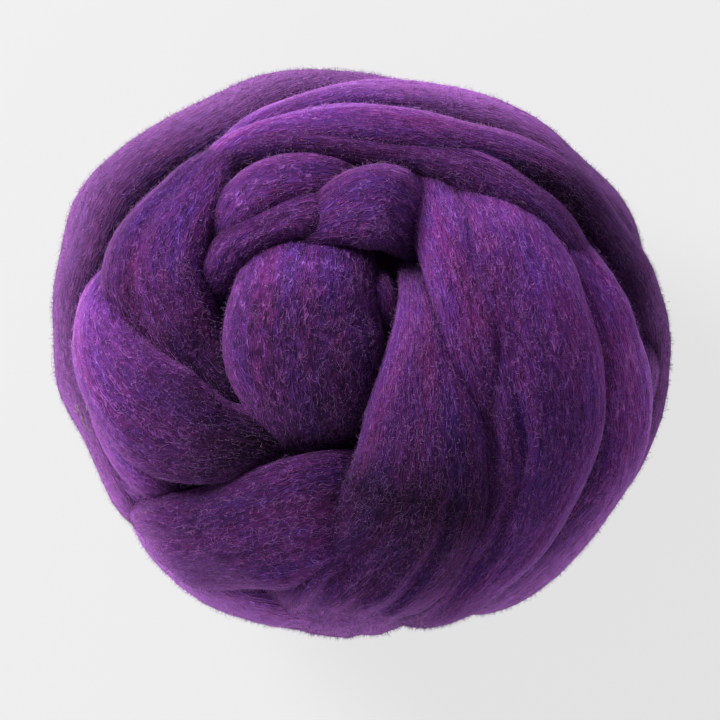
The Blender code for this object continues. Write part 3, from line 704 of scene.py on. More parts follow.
def spread_back(coarse, shape):
    """The coarse table smoothed a little and stretched back over all rows and columns."""
    padded = np.pad(coarse, ((1, 1), (0, 0)), mode="edge")
    coarse = (padded[:-2] + 2 * padded[1:-1] + padded[2:]) / 4
    coarse = (np.roll(coarse, 1, axis=1) + 2 * coarse + np.roll(coarse, -1, axis=1)) / 4
    i, j = np.arange(shape[0])[:, None] / OPEN_ROWS, np.arange(shape[1])[None, :] / OPEN_COLS
    return between(coarse, i, j)


def between(table, i, j):
    """Values of a table that closes round its columns, at fractional rows and columns."""
    rows, cols = table.shape[:2]
    i = np.clip(i, 0, rows - 1.001)             # just short of the last row
    i0, j0 = np.floor(i).astype(int), np.floor(j).astype(int)
    deeper = (...,) + (None,) * (table.ndim - 2)
    a, b = (i - i0)[deeper], (j - j0)[deeper]
    j0, j1 = j0 % cols, (j0 + 1) % cols
    return ((table[i0, j0] * (1 - b) + table[i0, j1] * b) * (1 - a)
            + (table[i0 + 1, j0] * (1 - b) + table[i0 + 1, j1] * b) * a)


# ---- loose fibres -------------------------------------------------------------------------
TREE_ROWS = 2                       # the search tree takes every second row
SEARCH_ROUNDS = 12
LEAST_FACING = -0.15                # how far a spot's skin may turn inward
FLOOR_SHARE, SHARE_RISES_OVER = 0.25, 45.0   # fibres grow sparser towards the floor
CLEAR_START, CLEAR_REACH = 0.5, 60.0         # mm; an open spot has nothing outside it
RIM_BAND = 9.0                      # mm over and under the widest level
SIDES = 3                           # of a fibre's section
TIP_SHARE, TAPER = 0.35, 0.6        # how thin a fibre ends, and how soon
SPIKE = np.array([[2, 1, 0], [0, 1, 3], [1, 2, 3], [2, 0, 3]])

# where a fibre's and a hair's faces lie in its own cell of the map
FIBRE_CELL_ASPECT = 0.35
FIBRE_RUN, FIBRE_RUN_FROM, FIBRE_GIRTH, FIBRE_GIRTH_FROM = 0.80, 0.04, 0.86, 0.07
FIBRE_TIP = np.array([[0.87, 0.1], [0.97, 0.1], [0.87, 0.4]])
FIBRE_TIPS_APART = np.array([0, 0.45])
SPIKE_CELL = np.array([[0.1, 0.1], [0.4, 0.1], [0.1, 0.4], [0.5, 0.1], [0.9, 0.1], [0.5, 0.4],
                       [0.1, 0.5], [0.4, 0.5], [0.1, 0.9], [0.5, 0.5], [0.9, 0.5], [0.5, 0.9]])


def skin_tree(turns):
    """A search tree of all skins, in mm, for telling what lies open to the outside."""
    points, faces, first = [], [], 0
    for turn in turns:
        grid = turn["grid"][::TREE_ROWS]
        points.append(grid.reshape(-1, 3))
        faces.append(grid_quads(*grid.shape[:2])[2] + first)
        first += len(points[-1])
    return BVHTree.FromPolygons(np.concatenate(points).tolist(), np.concatenate(faces).tolist())


def on_turn(turn, i, j):
    """Points and normals of a turn's skin at fractional rows and columns."""
    return between(turn["grid"], i, j), unit(between(turn["normals"], i, j))


def place_of_dye(turn, i, j):
    """Where rows and columns of a turn lie on its own stretch of the dye, in mm."""
    cols = turn["grid"].shape[1]
    way = np.interp(np.mod(j, cols), np.arange(cols), turn["way"])
    along = i * (turn["along"][1] - turn["along"][0])
    return np.stack([along, way], axis=-1) + turn["seed"] * LAY_APART


def nearest(turn, i, j):
    """The openness, and the painted dye and shade, at the points nearest to rows i and columns j.
    """
    at = (np.rint(i).astype(int), np.rint(j).astype(int) % turn["grid"].shape[1])
    return turn["openness"][at], turn["dye"][at]


def open_spots(turns, tree, rng, wanted, to_rim=0.0):
    """Turn number, row and column of spots spread over what lies open to the outside; to_rim
    thins them out away from the widest level."""
    areas = np.array([t["along"][-1] * t["girth"] for t in turns])
    found = []
    for _ in range(SEARCH_ROUNDS):
        which = rng.choice(len(turns), size=wanted, p=areas / areas.sum())
        for number in np.unique(which):
            turn = turns[number]
            rows, cols = turn["grid"].shape[:2]
            count = int((which == number).sum())
            i, j = rng.uniform(1, rows - 2, count), rng.uniform(0, cols, count)
            spot, normal = on_turn(turn, i, j)
            out = outward(spot)
            keep = (normal * out).sum(axis=1) > LEAST_FACING
            near_rim = np.exp(-((spot[:, 2] - WIDEST) / RIM_BAND)**2)
            share = np.clip(FLOOR_SHARE + spot[:, 2] / SHARE_RISES_OVER, 0, 1)
            share = share * (1 - to_rim * (1 - near_rim))
            keep &= rng.uniform(size=count) < share
            for n in np.flatnonzero(keep):
                start = Vector(spot[n] + normal[n] * CLEAR_START)
                if tree.ray_cast(start, Vector(out[n]), CLEAR_REACH)[0] is None:
                    found.append((number, i[n], j[n]))
        if len(found) >= wanted:
            break
    found = np.array(found)
    rng.shuffle(found)
    return found[:wanted]


def fibre_paths(turns, spots, rng, kind):
    """Paths over the skin: each starts at a spot, sways as it goes and rises.  With them come the
    skin's normals, the places of the dye, and the openness and the painted dye and shade at the
    root."""
    parts = {"paths": [], "normals": [], "places": [], "openness": [], "dye": []}
    for number in np.unique(spots[:, 0]).astype(int):
        turn = turns[number]
        mine = spots[spots[:, 0] == number]
        count = len(mine)
        lengths = kind["length"] * rng.uniform(*LENGTH_MIX, (count, 1))
        s = np.linspace(0, 1, kind["steps"] + 1)[None, :] * lengths
        heading = rng.normal(0, kind["spread"], (count, 1)) + rng.choice([0, np.pi], (count, 1))
        bend = kind["sway"] * rng.uniform(*SWAY_MIX, (count, 1))
        waves = kind["wave"] * rng.uniform(*WAVE_MIX, (count, 1))
        phase = rng.uniform(*ANY_PHASE, (count, 1))
        heading = heading + bend * np.sin(2 * np.pi * s / waves + phase)
        step = lengths / kind["steps"]
        forward = np.cumsum(np.cos(heading) * step, axis=1) - np.cos(heading[:, :1]) * step
        sideways = np.cumsum(np.sin(heading) * step, axis=1) - np.sin(heading[:, :1]) * step
        i = mine[:, 1:2] + forward / (turn["along"][1] - turn["along"][0])
        j = mine[:, 2:3] + sideways / STEP_ROUND
        skin, normal = on_turn(turn, i, j)
        share = s / lengths
        rise = rng.uniform(*RISE_MIX, (count, 1))**RISE_SKEW * kind["rise"]
        arches = rng.uniform(size=(count, 1)) < kind["arched"]
        arch = np.where(arches, np.sin(np.pi * share), share**LIFTING_SKEW)
        path = skin + normal * (kind["height"] + rise * arch)[..., None]
        path[..., 2] = np.maximum(path[..., 2], LEAST_HEIGHT)
        openness, dye = nearest(turn, mine[:, 1], mine[:, 2])
        for part, values in zip(parts, (path, normal, place_of_dye(turn, i, j), openness, dye)):
            parts[part].append(values)
    return {part: np.concatenate(values) for part, values in parts.items()}


def cell_corner(number, columns):
    """The corner of a fibre's own cell, in cells; they fill the map line by line."""
    return np.stack([number % columns, number // columns], axis=-1)


def fibre_piece(name, fibres, thick, tint, material):
    """Thin closed three-sided fibres along their paths, thinner at both ends."""
    paths = fibres["paths"]
    count, knots = paths.shape[:2]
    ahead = unit(np.gradient(paths, axis=1))
    across = unit(np.cross(ahead, fibres["normals"]))
    up = np.cross(across, ahead)
    bulge = np.sin(np.pi * np.linspace(0, 1, knots))**TAPER
    taper = TIP_SHARE + (1 - TIP_SHARE) * bulge
    radius = (thick[:, None] / 2 * taper[None, :])[..., None]
    ring = []
    for side in range(SIDES):
        a = 2 * np.pi * side / SIDES + np.pi / 2
        ring.append(paths + radius * (across * math.cos(a) + up * math.sin(a)))
    points = np.stack(ring, axis=2).reshape(-1, 3)
    f, k, c = np.meshgrid(np.arange(count), np.arange(knots - 1), np.arange(SIDES), indexing="ij")
    base, beside = (f * knots + k) * SIDES, (c + 1) % SIDES
    quads = np.stack([base + c, base + SIDES + c, base + SIDES + beside, base + beside], axis=-1)
    first = np.arange(count) * knots * SIDES
    last = first + (knots - 1) * SIDES
    triangles = np.concatenate([np.stack([first, first + 1, first + 2], axis=1),
                                np.stack([last + 2, last + 1, last], axis=1)])
    numbers = {"tint": tint, "openness": fibres["openness"], "dye": fibres["dye"]}
    make_piece(name, points, quads.reshape(-1, 4), triangles,
               fibre_maps(fibres["places"], f, k, c), material,
               **{label: np.repeat(values, knots * SIDES) for label, values in numbers.items()})


def fibre_maps(places, f, k, c):
    """The maps of fibres whose faces are numbered by fibre f, step k along it and side c: Lay
    holds the places of the dye, and OFBake has a cell for every fibre."""
    count, knots = places.shape[:2]
    lay = np.stack([places[f, k], places[f, k + 1], places[f, k + 1], places[f, k]], axis=3)
    lay_ends = np.concatenate([np.repeat(places[:, end], SIDES, axis=0) for end in (0, -1)])
    columns = int(math.ceil(math.sqrt(count * FIBRE_CELL_ASPECT)))
    lines = int(math.ceil(count / columns))
    cell = np.array([1 / columns, 1 / lines])
    corner = cell_corner(f, columns) * cell
    u = (np.stack([k, k + 1, k + 1, k], axis=-1) / (knots - 1)) * FIBRE_RUN + FIBRE_RUN_FROM
    v = (np.stack([c, c, c + 1, c + 1], axis=-1) / SIDES) * FIBRE_GIRTH + FIBRE_GIRTH_FROM
    spread_out = corner[..., None, :] + np.stack([u, v], axis=-1) * cell
    starts = cell_corner(np.arange(count), columns)[:, None, :] + FIBRE_TIP
    tips = np.concatenate([starts * cell, (starts + FIBRE_TIPS_APART) * cell])
    return {"Lay": np.concatenate([lay.reshape(-1, 2), lay_ends]) * MM,
            "OFBake": np.concatenate([spread_out.reshape(-1, 2), tips.reshape(-1, 2)])}


def scatter_fibres(turns, tree, material):
    """All the pieces of FIBRES."""
    for number, (name, kind) in enumerate(FIBRES.items()):
        rng = np.random.default_rng(FIBRES_SEED + number)
        fibres = fibre_paths(turns, open_spots(turns, tree, rng, kind["count"]), rng, kind)
        count = len(fibres["paths"])
        thick = kind["thick"] * rng.uniform(*THICK_MIX, count)
        tint = np.clip(rng.beta(*FIBRE_PALENESS, count) * kind["paleness"] * 2, 0, 1)
        fibre_piece(name, fibres, thick, tint, material)


def pale_piece(turns, tree, material):
    """A small tuft of undyed fibres caught where two turns meet."""
    rng = np.random.default_rng(PALE_SEED)
    near = []
    for number, i, j in open_spots(turns, tree, rng, PALE_STRAYS["searched"], to_rim=1.0):
        points, _ = on_turn(turns[int(number)], np.array([i]), np.array([j]))
        x, y, z = points[0] - (*PALE_STRAYS["place"], WIDEST)
        if np.hypot(x, y) < PALE_STRAYS["about"] and z > -PALE_STRAYS["under"]:
            near.append((number, i, j))
    near = np.array(near)[:PALE_STRAYS["count"]]
    fibres = fibre_paths(turns, near, rng, PALE_STRAYS)
    count = len(fibres["paths"])
    thick = rng.uniform(*PALE_STRAYS["thick"], count)
    fibre_piece("pale_strays", fibres, thick, rng.uniform(0, 1, count), material)


def nap_roots(turns, spots):
    """Point, normal, place of the dye, openness, and painted dye and shade at every spot."""
    count, numbers = len(spots), spots[:, 0].astype(int)
    root, normal = np.zeros((count, 3)), np.zeros((count, 3))
    place, openness, dye = np.zeros((count, 2)), np.zeros(count), np.zeros(count)
    for number in np.unique(numbers):
        turn, mine = turns[number], numbers == number
        i, j = spots[mine, 1], spots[mine, 2]
        root[mine], normal[mine] = on_turn(turn, i, j)
        place[mine] = place_of_dye(turn, i, j)
        openness[mine], dye[mine] = nearest(turn, i, j)
    return root, normal, place, openness, dye


def nap_piece(turns, tree, material):
    """The short nap: straight hairs that stand off the skin, each a slim closed spike."""
    rng = np.random.default_rng(NAP_SEED)
    spots = open_spots(turns, tree, rng, NAP["count"], to_rim=NAP["to_rim"])
    root, normal, place, openness, dye = nap_roots(turns, spots)
    count = len(spots)
    sideways = unit(np.cross(normal, rng.normal(size=(count, 3))))
    other = np.cross(normal, sideways)
    lean = rng.uniform(*NAP["lean"], (count, 1))
    ahead = unit(normal * np.cos(lean) + sideways * np.sin(lean))
    long = rng.uniform(*NAP["length"], (count, 1))
    half = rng.uniform(*NAP["thick"], (count, 1)) / 2
    root = root - normal * NAP["rooted"]
    foot = [root + half * (sideways * math.cos(a) + other * math.sin(a))
            for a in (0, 2 * np.pi / 3, 4 * np.pi / 3)]
    tip = root + ahead * long
    points = np.stack([*foot, tip], axis=1)
    points[..., 2] = np.maximum(points[..., 2], NAP_LEAST_HEIGHT)
    knots = points.shape[1]
    triangles = (np.arange(count)[:, None, None] * knots + SPIKE[None]).reshape(-1, 3)
    columns = int(math.ceil(math.sqrt(count)))
    laid_out = (cell_corner(np.arange(count), columns)[:, None, :] + SPIKE_CELL) / columns
    maps = {"Lay": np.repeat(place, SPIKE.size, axis=0) * MM, "OFBake": laid_out.reshape(-1, 2)}
    tint = np.clip(rng.beta(*NAP_PALENESS, count) * NAP["paleness"] * 2, 0, 1)
    numbers = {"tint": tint, "openness": openness, "dye": dye}
    make_piece("short_nap", points.reshape(-1, 3), np.zeros((0, 4), int), triangles, maps, material,
               **{label: np.repeat(values, knots) for label, values in numbers.items()})


# ---- finishes ---------------------------------------------------------------------------
DEEP = (0.026, 0.0057, 0.043)
PLUM = (0.083, 0.0178, 0.129)
MAGENTA = (0.163, 0.0208, 0.136)
VIOLET = (0.062, 0.0205, 0.208)
LILAC = (0.400, 0.150, 0.505)
CREAM = (0.46, 0.40, 0.24)
OLIVE = (0.16, 0.13, 0.07)
ROSE = (0.300, 0.022, 0.150)
BLUE = (0.075, 0.030, 0.340)
FUZZ_SHEEN = (0.420, 0.162, 0.515)     # painted rim sheen: the lighter colour of fibres seen edge on

# the pattern of the fibres: sizes in metres, densities in waves a metre
FINE_STREAKS = {"Streak_Length": 0.0026, "Streak_Width": 0.00036, "Crimp": 0.0008}
BROAD_STREAKS = {"Streak_Length": 0.0050, "Streak_Width": 0.0010, "Crimp": 0.0016}
FINE_SHARE, BROAD_SHARE = 0.62, 0.38
CRIMP_DENSITY = 420
CURL, THREAD_THICKNESS = 0.0012, 0.040       # the thickness is a share of the curl
THREAD_STRETCHES = (4.0, 2.2, 1.3)           # three layers of threads, each less combed
THREAD_BREAKS = 0.55                         # how densely they break off, in curls
LUMP_DENSITY = 480
DRIFT_DENSITIES = (1.0, 0.55)                # two layers of drifts of the dye, one broader
FLECK_LENGTH, FLECK_WIDTH = 0.0030, 0.0006   # single fibres of another dye
LAYER_APART, DRIFT_APART = 5.3, 3.7          # between two layers of the same noise
# the stretch of a noise that counts, and the share of the dye that it brings
STREAK_CONTRAST, THREAD_BREAKS_AT = (0.28, 0.72), (0.46, 0.60)
MAGENTA_DRIFTS = (0.36, 0.66)
PLUM_DRIFTS, PLUM_SHARE = (0.35, 0.70), (0.35, 0.90)
ROSE_FLECKS, ROSE_SHARE = (0.56, 0.72), (0.0, 0.38)
BLUE_FLECKS, BLUE_SHARE = (0.28, 0.44), (0.45, 0.0)
DEEP_STREAKS, DEEP_SHARE = (0.10, 0.55), (0.95, 0.0)
LILAC_STREAKS, LILAC_SHARE = (0.55, 0.95), (0.0, 0.45)
BUMP_STRENGTH, BUMP_HEIGHT = 0.9, 0.0006
# how much of each pattern shows where the wool lies combed, and where it is felted
COMBED_SHOWS, CURLED_SHOWS, LUMPS_SHOW = (0.85, 0.50), (0.38, 0.75), (0.15, 1.0)

# painted rim sheen of fuzz seen edge on: where the skin turns away, where it turns away on the ball
# as a whole, and how open to the outside it has to lie
SKIN_EDGE, SKIN_EDGE_OPEN = (0.35, 0.90), (0.42, 0.80)
BALL_SIDE, BALL_SIDE_SHARE = (0.12, 0.45), (0.25, 0.80)
BALL_EDGE, BALL_EDGE_SHARE, BALL_EDGE_OPEN = (0.34, 0.85), (0.0, 0.88), (0.35, 0.75)
STREAKED, STREAKED_SHARE = (0.15, 0.75), (0.50, 1.0)
# painted shade in the creases: the openness over which it fades out, and how dark it paints wool,
# rim sheen and single fibres at most
CREASE_SHADE_OPEN = (0.15, 0.90)
WOOL_DARKEST, SHEEN_DARKEST, FIBRE_DARKEST = 0.26, 0.4, 0.25
# how far the painted dye and shade carries over to the painted rim sheen and to single fibres
DYE_AND_SHADE_RANGE_SHEEN, SHEEN_PALENESS = (0.0, 2.4), (0.42, 1.60)
DYE_AND_SHADE_RANGE_FIBRE, FIBRE_LIGHTNESS = (0.0, 2.0), (0.35, 1.6)
FIBRE_LILAC, FIBRE_STREAK = (0.05, 0.80), 0.6


def new_group(name, inputs, outputs):
    """An empty shader group with named inputs (name, kind, value) and outputs (name, kind)."""
    group = bpy.data.node_groups.new(name, "ShaderNodeTree")
    for label, kind, value in inputs:
        socket = group.interface.new_socket(name=label, in_out="INPUT", socket_type=kind)
        if value is not None:
            socket.default_value = value
    for label, kind in outputs:
        group.interface.new_socket(name=label, in_out="OUTPUT", socket_type=kind)
    return group, group.nodes.new("NodeGroupInput"), group.nodes.new("NodeGroupOutput")


def link(tree, source, target):
    """Joins an output socket to an input socket."""
    tree.links.new(source, target)


def maths(tree, operation, first, second=0.5, clamp=False):
    """One step of arithmetic; each value is a number or a socket."""
    node = tree.nodes.new("ShaderNodeMath")
    node.operation = operation
    node.use_clamp = clamp
    for socket, value in zip(node.inputs, (first, second)):
        if isinstance(value, (int, float)):
            socket.default_value = value
        else:
            link(tree, value, socket)
    return node.outputs[0]


def mixed(tree, share, first, second):
    """A colour between first and second; each is a colour or a socket."""
    node = tree.nodes.new("ShaderNodeMix")
    node.data_type = "RGBA"
    for socket, value in zip((node.inputs["Factor"], *node.inputs[6:8]), (share, first, second)):
        if isinstance(value, tuple):
            socket.default_value = (*value, 1)
        elif isinstance(value, (int, float)):
            socket.default_value = value
        else:
            link(tree, value, socket)
    return node.outputs[2]


def noise(tree, vector, scale, detail):
    """Soft noise between 0 and 1."""
    node = tree.nodes.new("ShaderNodeTexNoise")
    node.inputs["Scale"].default_value = scale
    node.inputs["Detail"].default_value = detail
    link(tree, vector, node.inputs["Vector"])
    return node.outputs["Fac"]


def ranged(tree, value, given, wanted=(0.0, 1.0)):
    """A value of the given range brought to the wanted one, and held inside it."""
    node = tree.nodes.new("ShaderNodeMapRange")
    link(tree, value, node.inputs["Value"])
    for label, number in zip(("From Min", "From Max", "To Min", "To Max"), (*given, *wanted)):
        node.inputs[label].default_value = number
    return node.outputs[0]


def coordinates(tree, place):
    """How far along the roving and how far round it a place lies."""
    split = tree.nodes.new("ShaderNodeSeparateXYZ")
    link(tree, place, split.inputs[0])
    return split.outputs["X"], split.outputs["Y"]


def spot_of(tree, along, across, layer=0.0):
    """The place of two coordinates, in a layer of its own."""
    joined = tree.nodes.new("ShaderNodeCombineXYZ")
    link(tree, along, joined.inputs["X"])
    link(tree, across, joined.inputs["Y"])
    joined.inputs["Z"].default_value = layer
    return joined.outputs[0]


def value_of(tree, name):
    """A value that the piece carries at each of its points."""
    node = tree.nodes.new("ShaderNodeAttribute")
    node.attribute_name = name
    return node.outputs["Fac"]


def lay_of(tree):
    """The place on the roving that every piece carries in its map Lay."""
    node = tree.nodes.new("ShaderNodeUVMap")
    node.uv_map = "Lay"
    return node.outputs[0]


def rgb(tree, color):
    """A plain colour as a socket."""
    node = tree.nodes.new("ShaderNodeRGB")
    node.outputs[0].default_value = (*color, 1)
    return node.outputs[0]


def vector_maths(tree, operation, first, second=(0, 0, 0)):
    """One step of arithmetic on a vector."""
    node = tree.nodes.new("ShaderNodeVectorMath")
    node.operation = operation
    link(tree, first, node.inputs[0])
    node.inputs[1].default_value = second
    return node.outputs[0]


def placed(tree, group, **values):
    """The output of a shader group, placed with its own values."""
    node = tree.nodes.new("ShaderNodeGroup")
    node.node_tree = group
    for label, value in values.items():
        socket = node.inputs[label.replace("_", " ")]
        if isinstance(value, (int, float)):
            socket.default_value = value
        else:
            link(tree, value, socket)
    return node.outputs[0]


def streak_group():
    """Streaks along the roving: bright and dark fibres side by side, each a little crimped."""
    group, given, out = new_group(
        "Combed streaks",
        [("Place", "NodeSocketVector", None), ("Streak Length", "NodeSocketFloat", 0.006),
         ("Streak Width", "NodeSocketFloat", 0.0005), ("Crimp", "NodeSocketFloat", 0.0003)],
        [("Streak", "NodeSocketFloat")])
    along, across = coordinates(group, given.outputs["Place"])
    bends = noise(group, given.outputs["Place"], CRIMP_DENSITY, 1)
    shift = maths(group, "MULTIPLY", maths(group, "SUBTRACT", bends, 0.5), given.outputs["Crimp"])
    across = maths(group, "ADD", across, shift)
    spot = spot_of(group, maths(group, "DIVIDE", along, given.outputs["Streak Length"]),
                   maths(group, "DIVIDE", across, given.outputs["Streak Width"]))
    link(group, ranged(group, noise(group, spot, 1.0, 2), STREAK_CONTRAST), out.inputs["Streak"])
    return group


def thread_group():
    """Thin curled fibres felted every way over the skin: the lines where a soft field passes
    its middle value, broken up by a second field."""
    group, given, out = new_group(
        "Felted threads",
        [("Place", "NodeSocketVector", None), ("Curl", "NodeSocketFloat", 0.0015),
         ("Thickness", "NodeSocketFloat", 0.05)],
        [("Threads", "NodeSocketFloat")])
    along, across = coordinates(group, given.outputs["Place"])
    along = maths(group, "DIVIDE", along, given.outputs["Curl"])
    across = maths(group, "DIVIDE", across, given.outputs["Curl"])
    layers = []
    for number, stretch in enumerate(THREAD_STRETCHES):
        spot = spot_of(group, maths(group, "DIVIDE", along, stretch), across,
                       LAYER_APART * (number + 1))
        off = maths(group, "ABSOLUTE", maths(group, "SUBTRACT", noise(group, spot, 1.0, 1), 0.5))
        off = maths(group, "DIVIDE", off, given.outputs["Thickness"])
        line = maths(group, "SUBTRACT", 1.0, off, clamp=True)
        broken = ranged(group, noise(group, spot, THREAD_BREAKS, 1), THREAD_BREAKS_AT)
        layers.append(maths(group, "MULTIPLY", line, broken))
    most = maths(group, "MAXIMUM", maths(group, "MAXIMUM", layers[0], layers[1]), layers[2])
    link(group, most, out.inputs["Threads"])
    return group


def heather_group():
    """Dyed heather: deep, plum, magenta and violet fibres in long drifts along the roving."""
    group, given, out = new_group(
        "Dyed heather",
        [("Place", "NodeSocketVector", None), ("Streak", "NodeSocketFloat", 0.5),
         ("Drift Length", "NodeSocketFloat", 0.024), ("Drift Width", "NodeSocketFloat", 0.006)],
        [("Color", "NodeSocketColor")])
    along, across = coordinates(group, given.outputs["Place"])
    streak = given.outputs["Streak"]
    drifts = []
    for number, factor in enumerate(DRIFT_DENSITIES):
        drift_along = maths(group, "DIVIDE", along, given.outputs["Drift Length"])
        drift_across = maths(group, "DIVIDE", across, given.outputs["Drift Width"])
        spot = spot_of(group, maths(group, "MULTIPLY", drift_along, factor),
                       maths(group, "MULTIPLY", drift_across, factor), DRIFT_APART * (number + 1))
        drifts.append(noise(group, spot, 1.0, 3))
    ground = mixed(group, ranged(group, drifts[0], MAGENTA_DRIFTS), VIOLET, MAGENTA)
    ground = mixed(group, ranged(group, drifts[1], PLUM_DRIFTS, PLUM_SHARE), ground, PLUM)
    fleck = noise(group, spot_of(group, maths(group, "DIVIDE", along, FLECK_LENGTH),
                                 maths(group, "DIVIDE", across, FLECK_WIDTH)), 1.0, 2)
    ground = mixed(group, ranged(group, fleck, ROSE_FLECKS, ROSE_SHARE), ground, ROSE)
    ground = mixed(group, ranged(group, fleck, BLUE_FLECKS, BLUE_SHARE), ground, BLUE)
    ground = mixed(group, ranged(group, streak, DEEP_STREAKS, DEEP_SHARE), ground, DEEP)
    ground = mixed(group, ranged(group, streak, LILAC_STREAKS, LILAC_SHARE), ground, LILAC)
    link(group, ground, out.inputs["Color"])
    return group


def crease_shade_group():
    """Painted shade: darker where the wool lies deep between its turns, times the painted dye and
    shade of the turn.
    """
    group, given, out = new_group(
        "Painted shade between turns",
        [("Color", "NodeSocketColor", None), ("Openness", "NodeSocketFloat", 1.0),
         ("Darkest", "NodeSocketFloat", 0.3), ("Dye", "NodeSocketFloat", 1.0)],
        [("Color", "NodeSocketColor")])
    share = ranged(group, given.outputs["Openness"], CREASE_SHADE_OPEN)
    span = maths(group, "SUBTRACT", 1.0, given.outputs["Darkest"])
    light = maths(group, "ADD", maths(group, "MULTIPLY", share, span), given.outputs["Darkest"])
    # painted light and shade: each turn's dye and shade value scales the colour
    light = maths(group, "MULTIPLY", light, given.outputs["Dye"])
    scale = group.nodes.new("ShaderNodeVectorMath")
    scale.operation = "SCALE"
    link(group, given.outputs["Color"], scale.inputs[0])
    link(group, light, scale.inputs["Scale"])
    link(group, scale.outputs[0], out.inputs["Color"])
    return group


def way_out(tree):
    """The way straight out of the whole ball, whatever its turns do."""
    place = tree.nodes.new("ShaderNodeTexCoord")
    from_middle = vector_maths(tree, "SUBTRACT", place.outputs["Object"], (0, 0, WIDEST * MM))
    bent = vector_maths(tree, "MULTIPLY", from_middle, (1 / HALF_X**2, 1 / HALF_Y**2, 1 / CROWN**2))
    return vector_maths(tree, "NORMALIZE", bent)


def empty_material(name, **values):
    """A new material with these constants on the sockets of its shader."""
    material = bpy.data.materials.new(name)
    material.use_nodes = True
    shader = material.node_tree.nodes["Principled BSDF"]
    for label, value in values.items():
        shader.inputs[label.replace("_", " ")].default_value = value
    return material, material.node_tree, shader


def fibre_pattern(tree, streaks, threads):
    """Bright and dark over the skin: combed streaks, curled threads and felted lumps."""
    place, felt = lay_of(tree), value_of(tree, "felt")
    fine = placed(tree, streaks, Place=place, **FINE_STREAKS)
    broad = placed(tree, streaks, Place=place, **BROAD_STREAKS)
    felted = placed(tree, threads, Place=place, Curl=CURL, Thickness=THREAD_THICKNESS)
    combed = maths(tree, "ADD", maths(tree, "MULTIPLY", fine, FINE_SHARE),
                   maths(tree, "MULTIPLY", broad, BROAD_SHARE))
    lumps = maths(tree, "SUBTRACT", noise(tree, place, LUMP_DENSITY, 2), 0.5)
    shown = ((combed, COMBED_SHOWS), (felted, CURLED_SHOWS), (lumps, LUMPS_SHOW))
    layers = [maths(tree, "MULTIPLY", layer, ranged(tree, felt, (0.0, 1.0), shows))
              for layer, shows in shown]
    return maths(tree, "ADD", maths(tree, "ADD", layers[0], layers[1]), layers[2])


def edge_fuzz_and_sheen(tree, pattern, openness):
    """Painted rim sheen: how much of the lighter fuzz colour is painted in, more where the skin or
    the ball turns away from the view.
    """
    skin, ball = (tree.nodes.new("ShaderNodeLayerWeight") for _ in range(2))
    link(tree, way_out(tree), ball.inputs["Normal"])
    near_edge = maths(tree, "MULTIPLY", ranged(tree, skin.outputs["Facing"], SKIN_EDGE),
                      ranged(tree, openness, SKIN_EDGE_OPEN))
    near_edge = maths(tree, "MULTIPLY", near_edge,
                      ranged(tree, ball.outputs["Facing"], BALL_SIDE, BALL_SIDE_SHARE))
    outline = ranged(tree, ball.outputs["Facing"], BALL_EDGE, BALL_EDGE_SHARE)
    outline = maths(tree, "MULTIPLY", outline, ranged(tree, openness, BALL_EDGE_OPEN))
    return maths(tree, "MULTIPLY", maths(tree, "MAXIMUM", near_edge, outline),
                 ranged(tree, pattern, STREAKED, STREAKED_SHARE))


def wool_material(streaks, threads, heather, crease_shade):
    """Combed wool: heathered dye, painted shade in the creases, a painted rim sheen, fine crimped
    fibres in the bump and a soft sheen.
    """
    material, tree, shader = empty_material(
        "combed wool", Roughness=0.9, Specular_IOR_Level=0.10, Sheen_Weight=0.55,
        Sheen_Roughness=0.35, Sheen_Tint=(0.60, 0.15, 0.80, 1))
    pattern = fibre_pattern(tree, streaks, threads)
    openness, dye = value_of(tree, "openness"), value_of(tree, "dye")
    heathered = placed(tree, heather, Place=lay_of(tree), Streak=pattern)
    # painted shade: the heather darker in the creases and by each turn's painted dye and shade
    crease_shaded = placed(tree, crease_shade, Color=heathered, Openness=openness, Darkest=WOOL_DARKEST, Dye=dye)
    pale = ranged(tree, dye, DYE_AND_SHADE_RANGE_SHEEN, SHEEN_PALENESS)
    # the painted rim sheen colour, itself painted darker in the creases
    light = placed(tree, crease_shade, Color=rgb(tree, FUZZ_SHEEN), Openness=openness, Darkest=SHEEN_DARKEST,
                   Dye=pale)
    # the painted rim sheen laid over the painted crease shade
    color = mixed(tree, edge_fuzz_and_sheen(tree, pattern, openness), crease_shaded, light)
    link(tree, color, shader.inputs["Base Color"])
    bump = tree.nodes.new("ShaderNodeBump")
    bump.inputs["Strength"].default_value = BUMP_STRENGTH
    bump.inputs["Distance"].default_value = BUMP_HEIGHT
    link(tree, pattern, bump.inputs["Height"])
    link(tree, bump.outputs[0], shader.inputs["Normal"])
    return material


def fibre_material(heather, crease_shade):
    """Single fibres: the dye of the wool under them, each paler by its own tint, with painted shade
    in the creases and the painted dye and shade of the turn under them.
    """
    material, tree, shader = empty_material(
        "loose fibre", Roughness=0.6, Specular_IOR_Level=0.35, Sheen_Weight=0.4,
        Sheen_Tint=(0.8, 0.5, 0.9, 1))
    heathered = placed(tree, heather, Place=lay_of(tree), Streak=FIBRE_STREAK)
    lilac = ranged(tree, value_of(tree, "tint"), (0.0, 1.0), FIBRE_LILAC)
    pale = ranged(tree, value_of(tree, "dye"), DYE_AND_SHADE_RANGE_FIBRE, FIBRE_LIGHTNESS)
    # painted shade in the creases, on the fibres too
    color = placed(tree, crease_shade, Color=mixed(tree, lilac, heathered, LILAC),
                   Openness=value_of(tree, "openness"), Darkest=FIBRE_DARKEST, Dye=pale)
    link(tree, color, shader.inputs["Base Color"])
    return material


def undyed_material():
    """Undyed fibre ends: cream going to olive."""
    material, tree, shader = empty_material("undyed fibre", Roughness=0.6, Sheen_Weight=0.3)
    link(tree, mixed(tree, value_of(tree, "tint"), CREAM, OLIVE), shader.inputs["Base Color"])
    return material


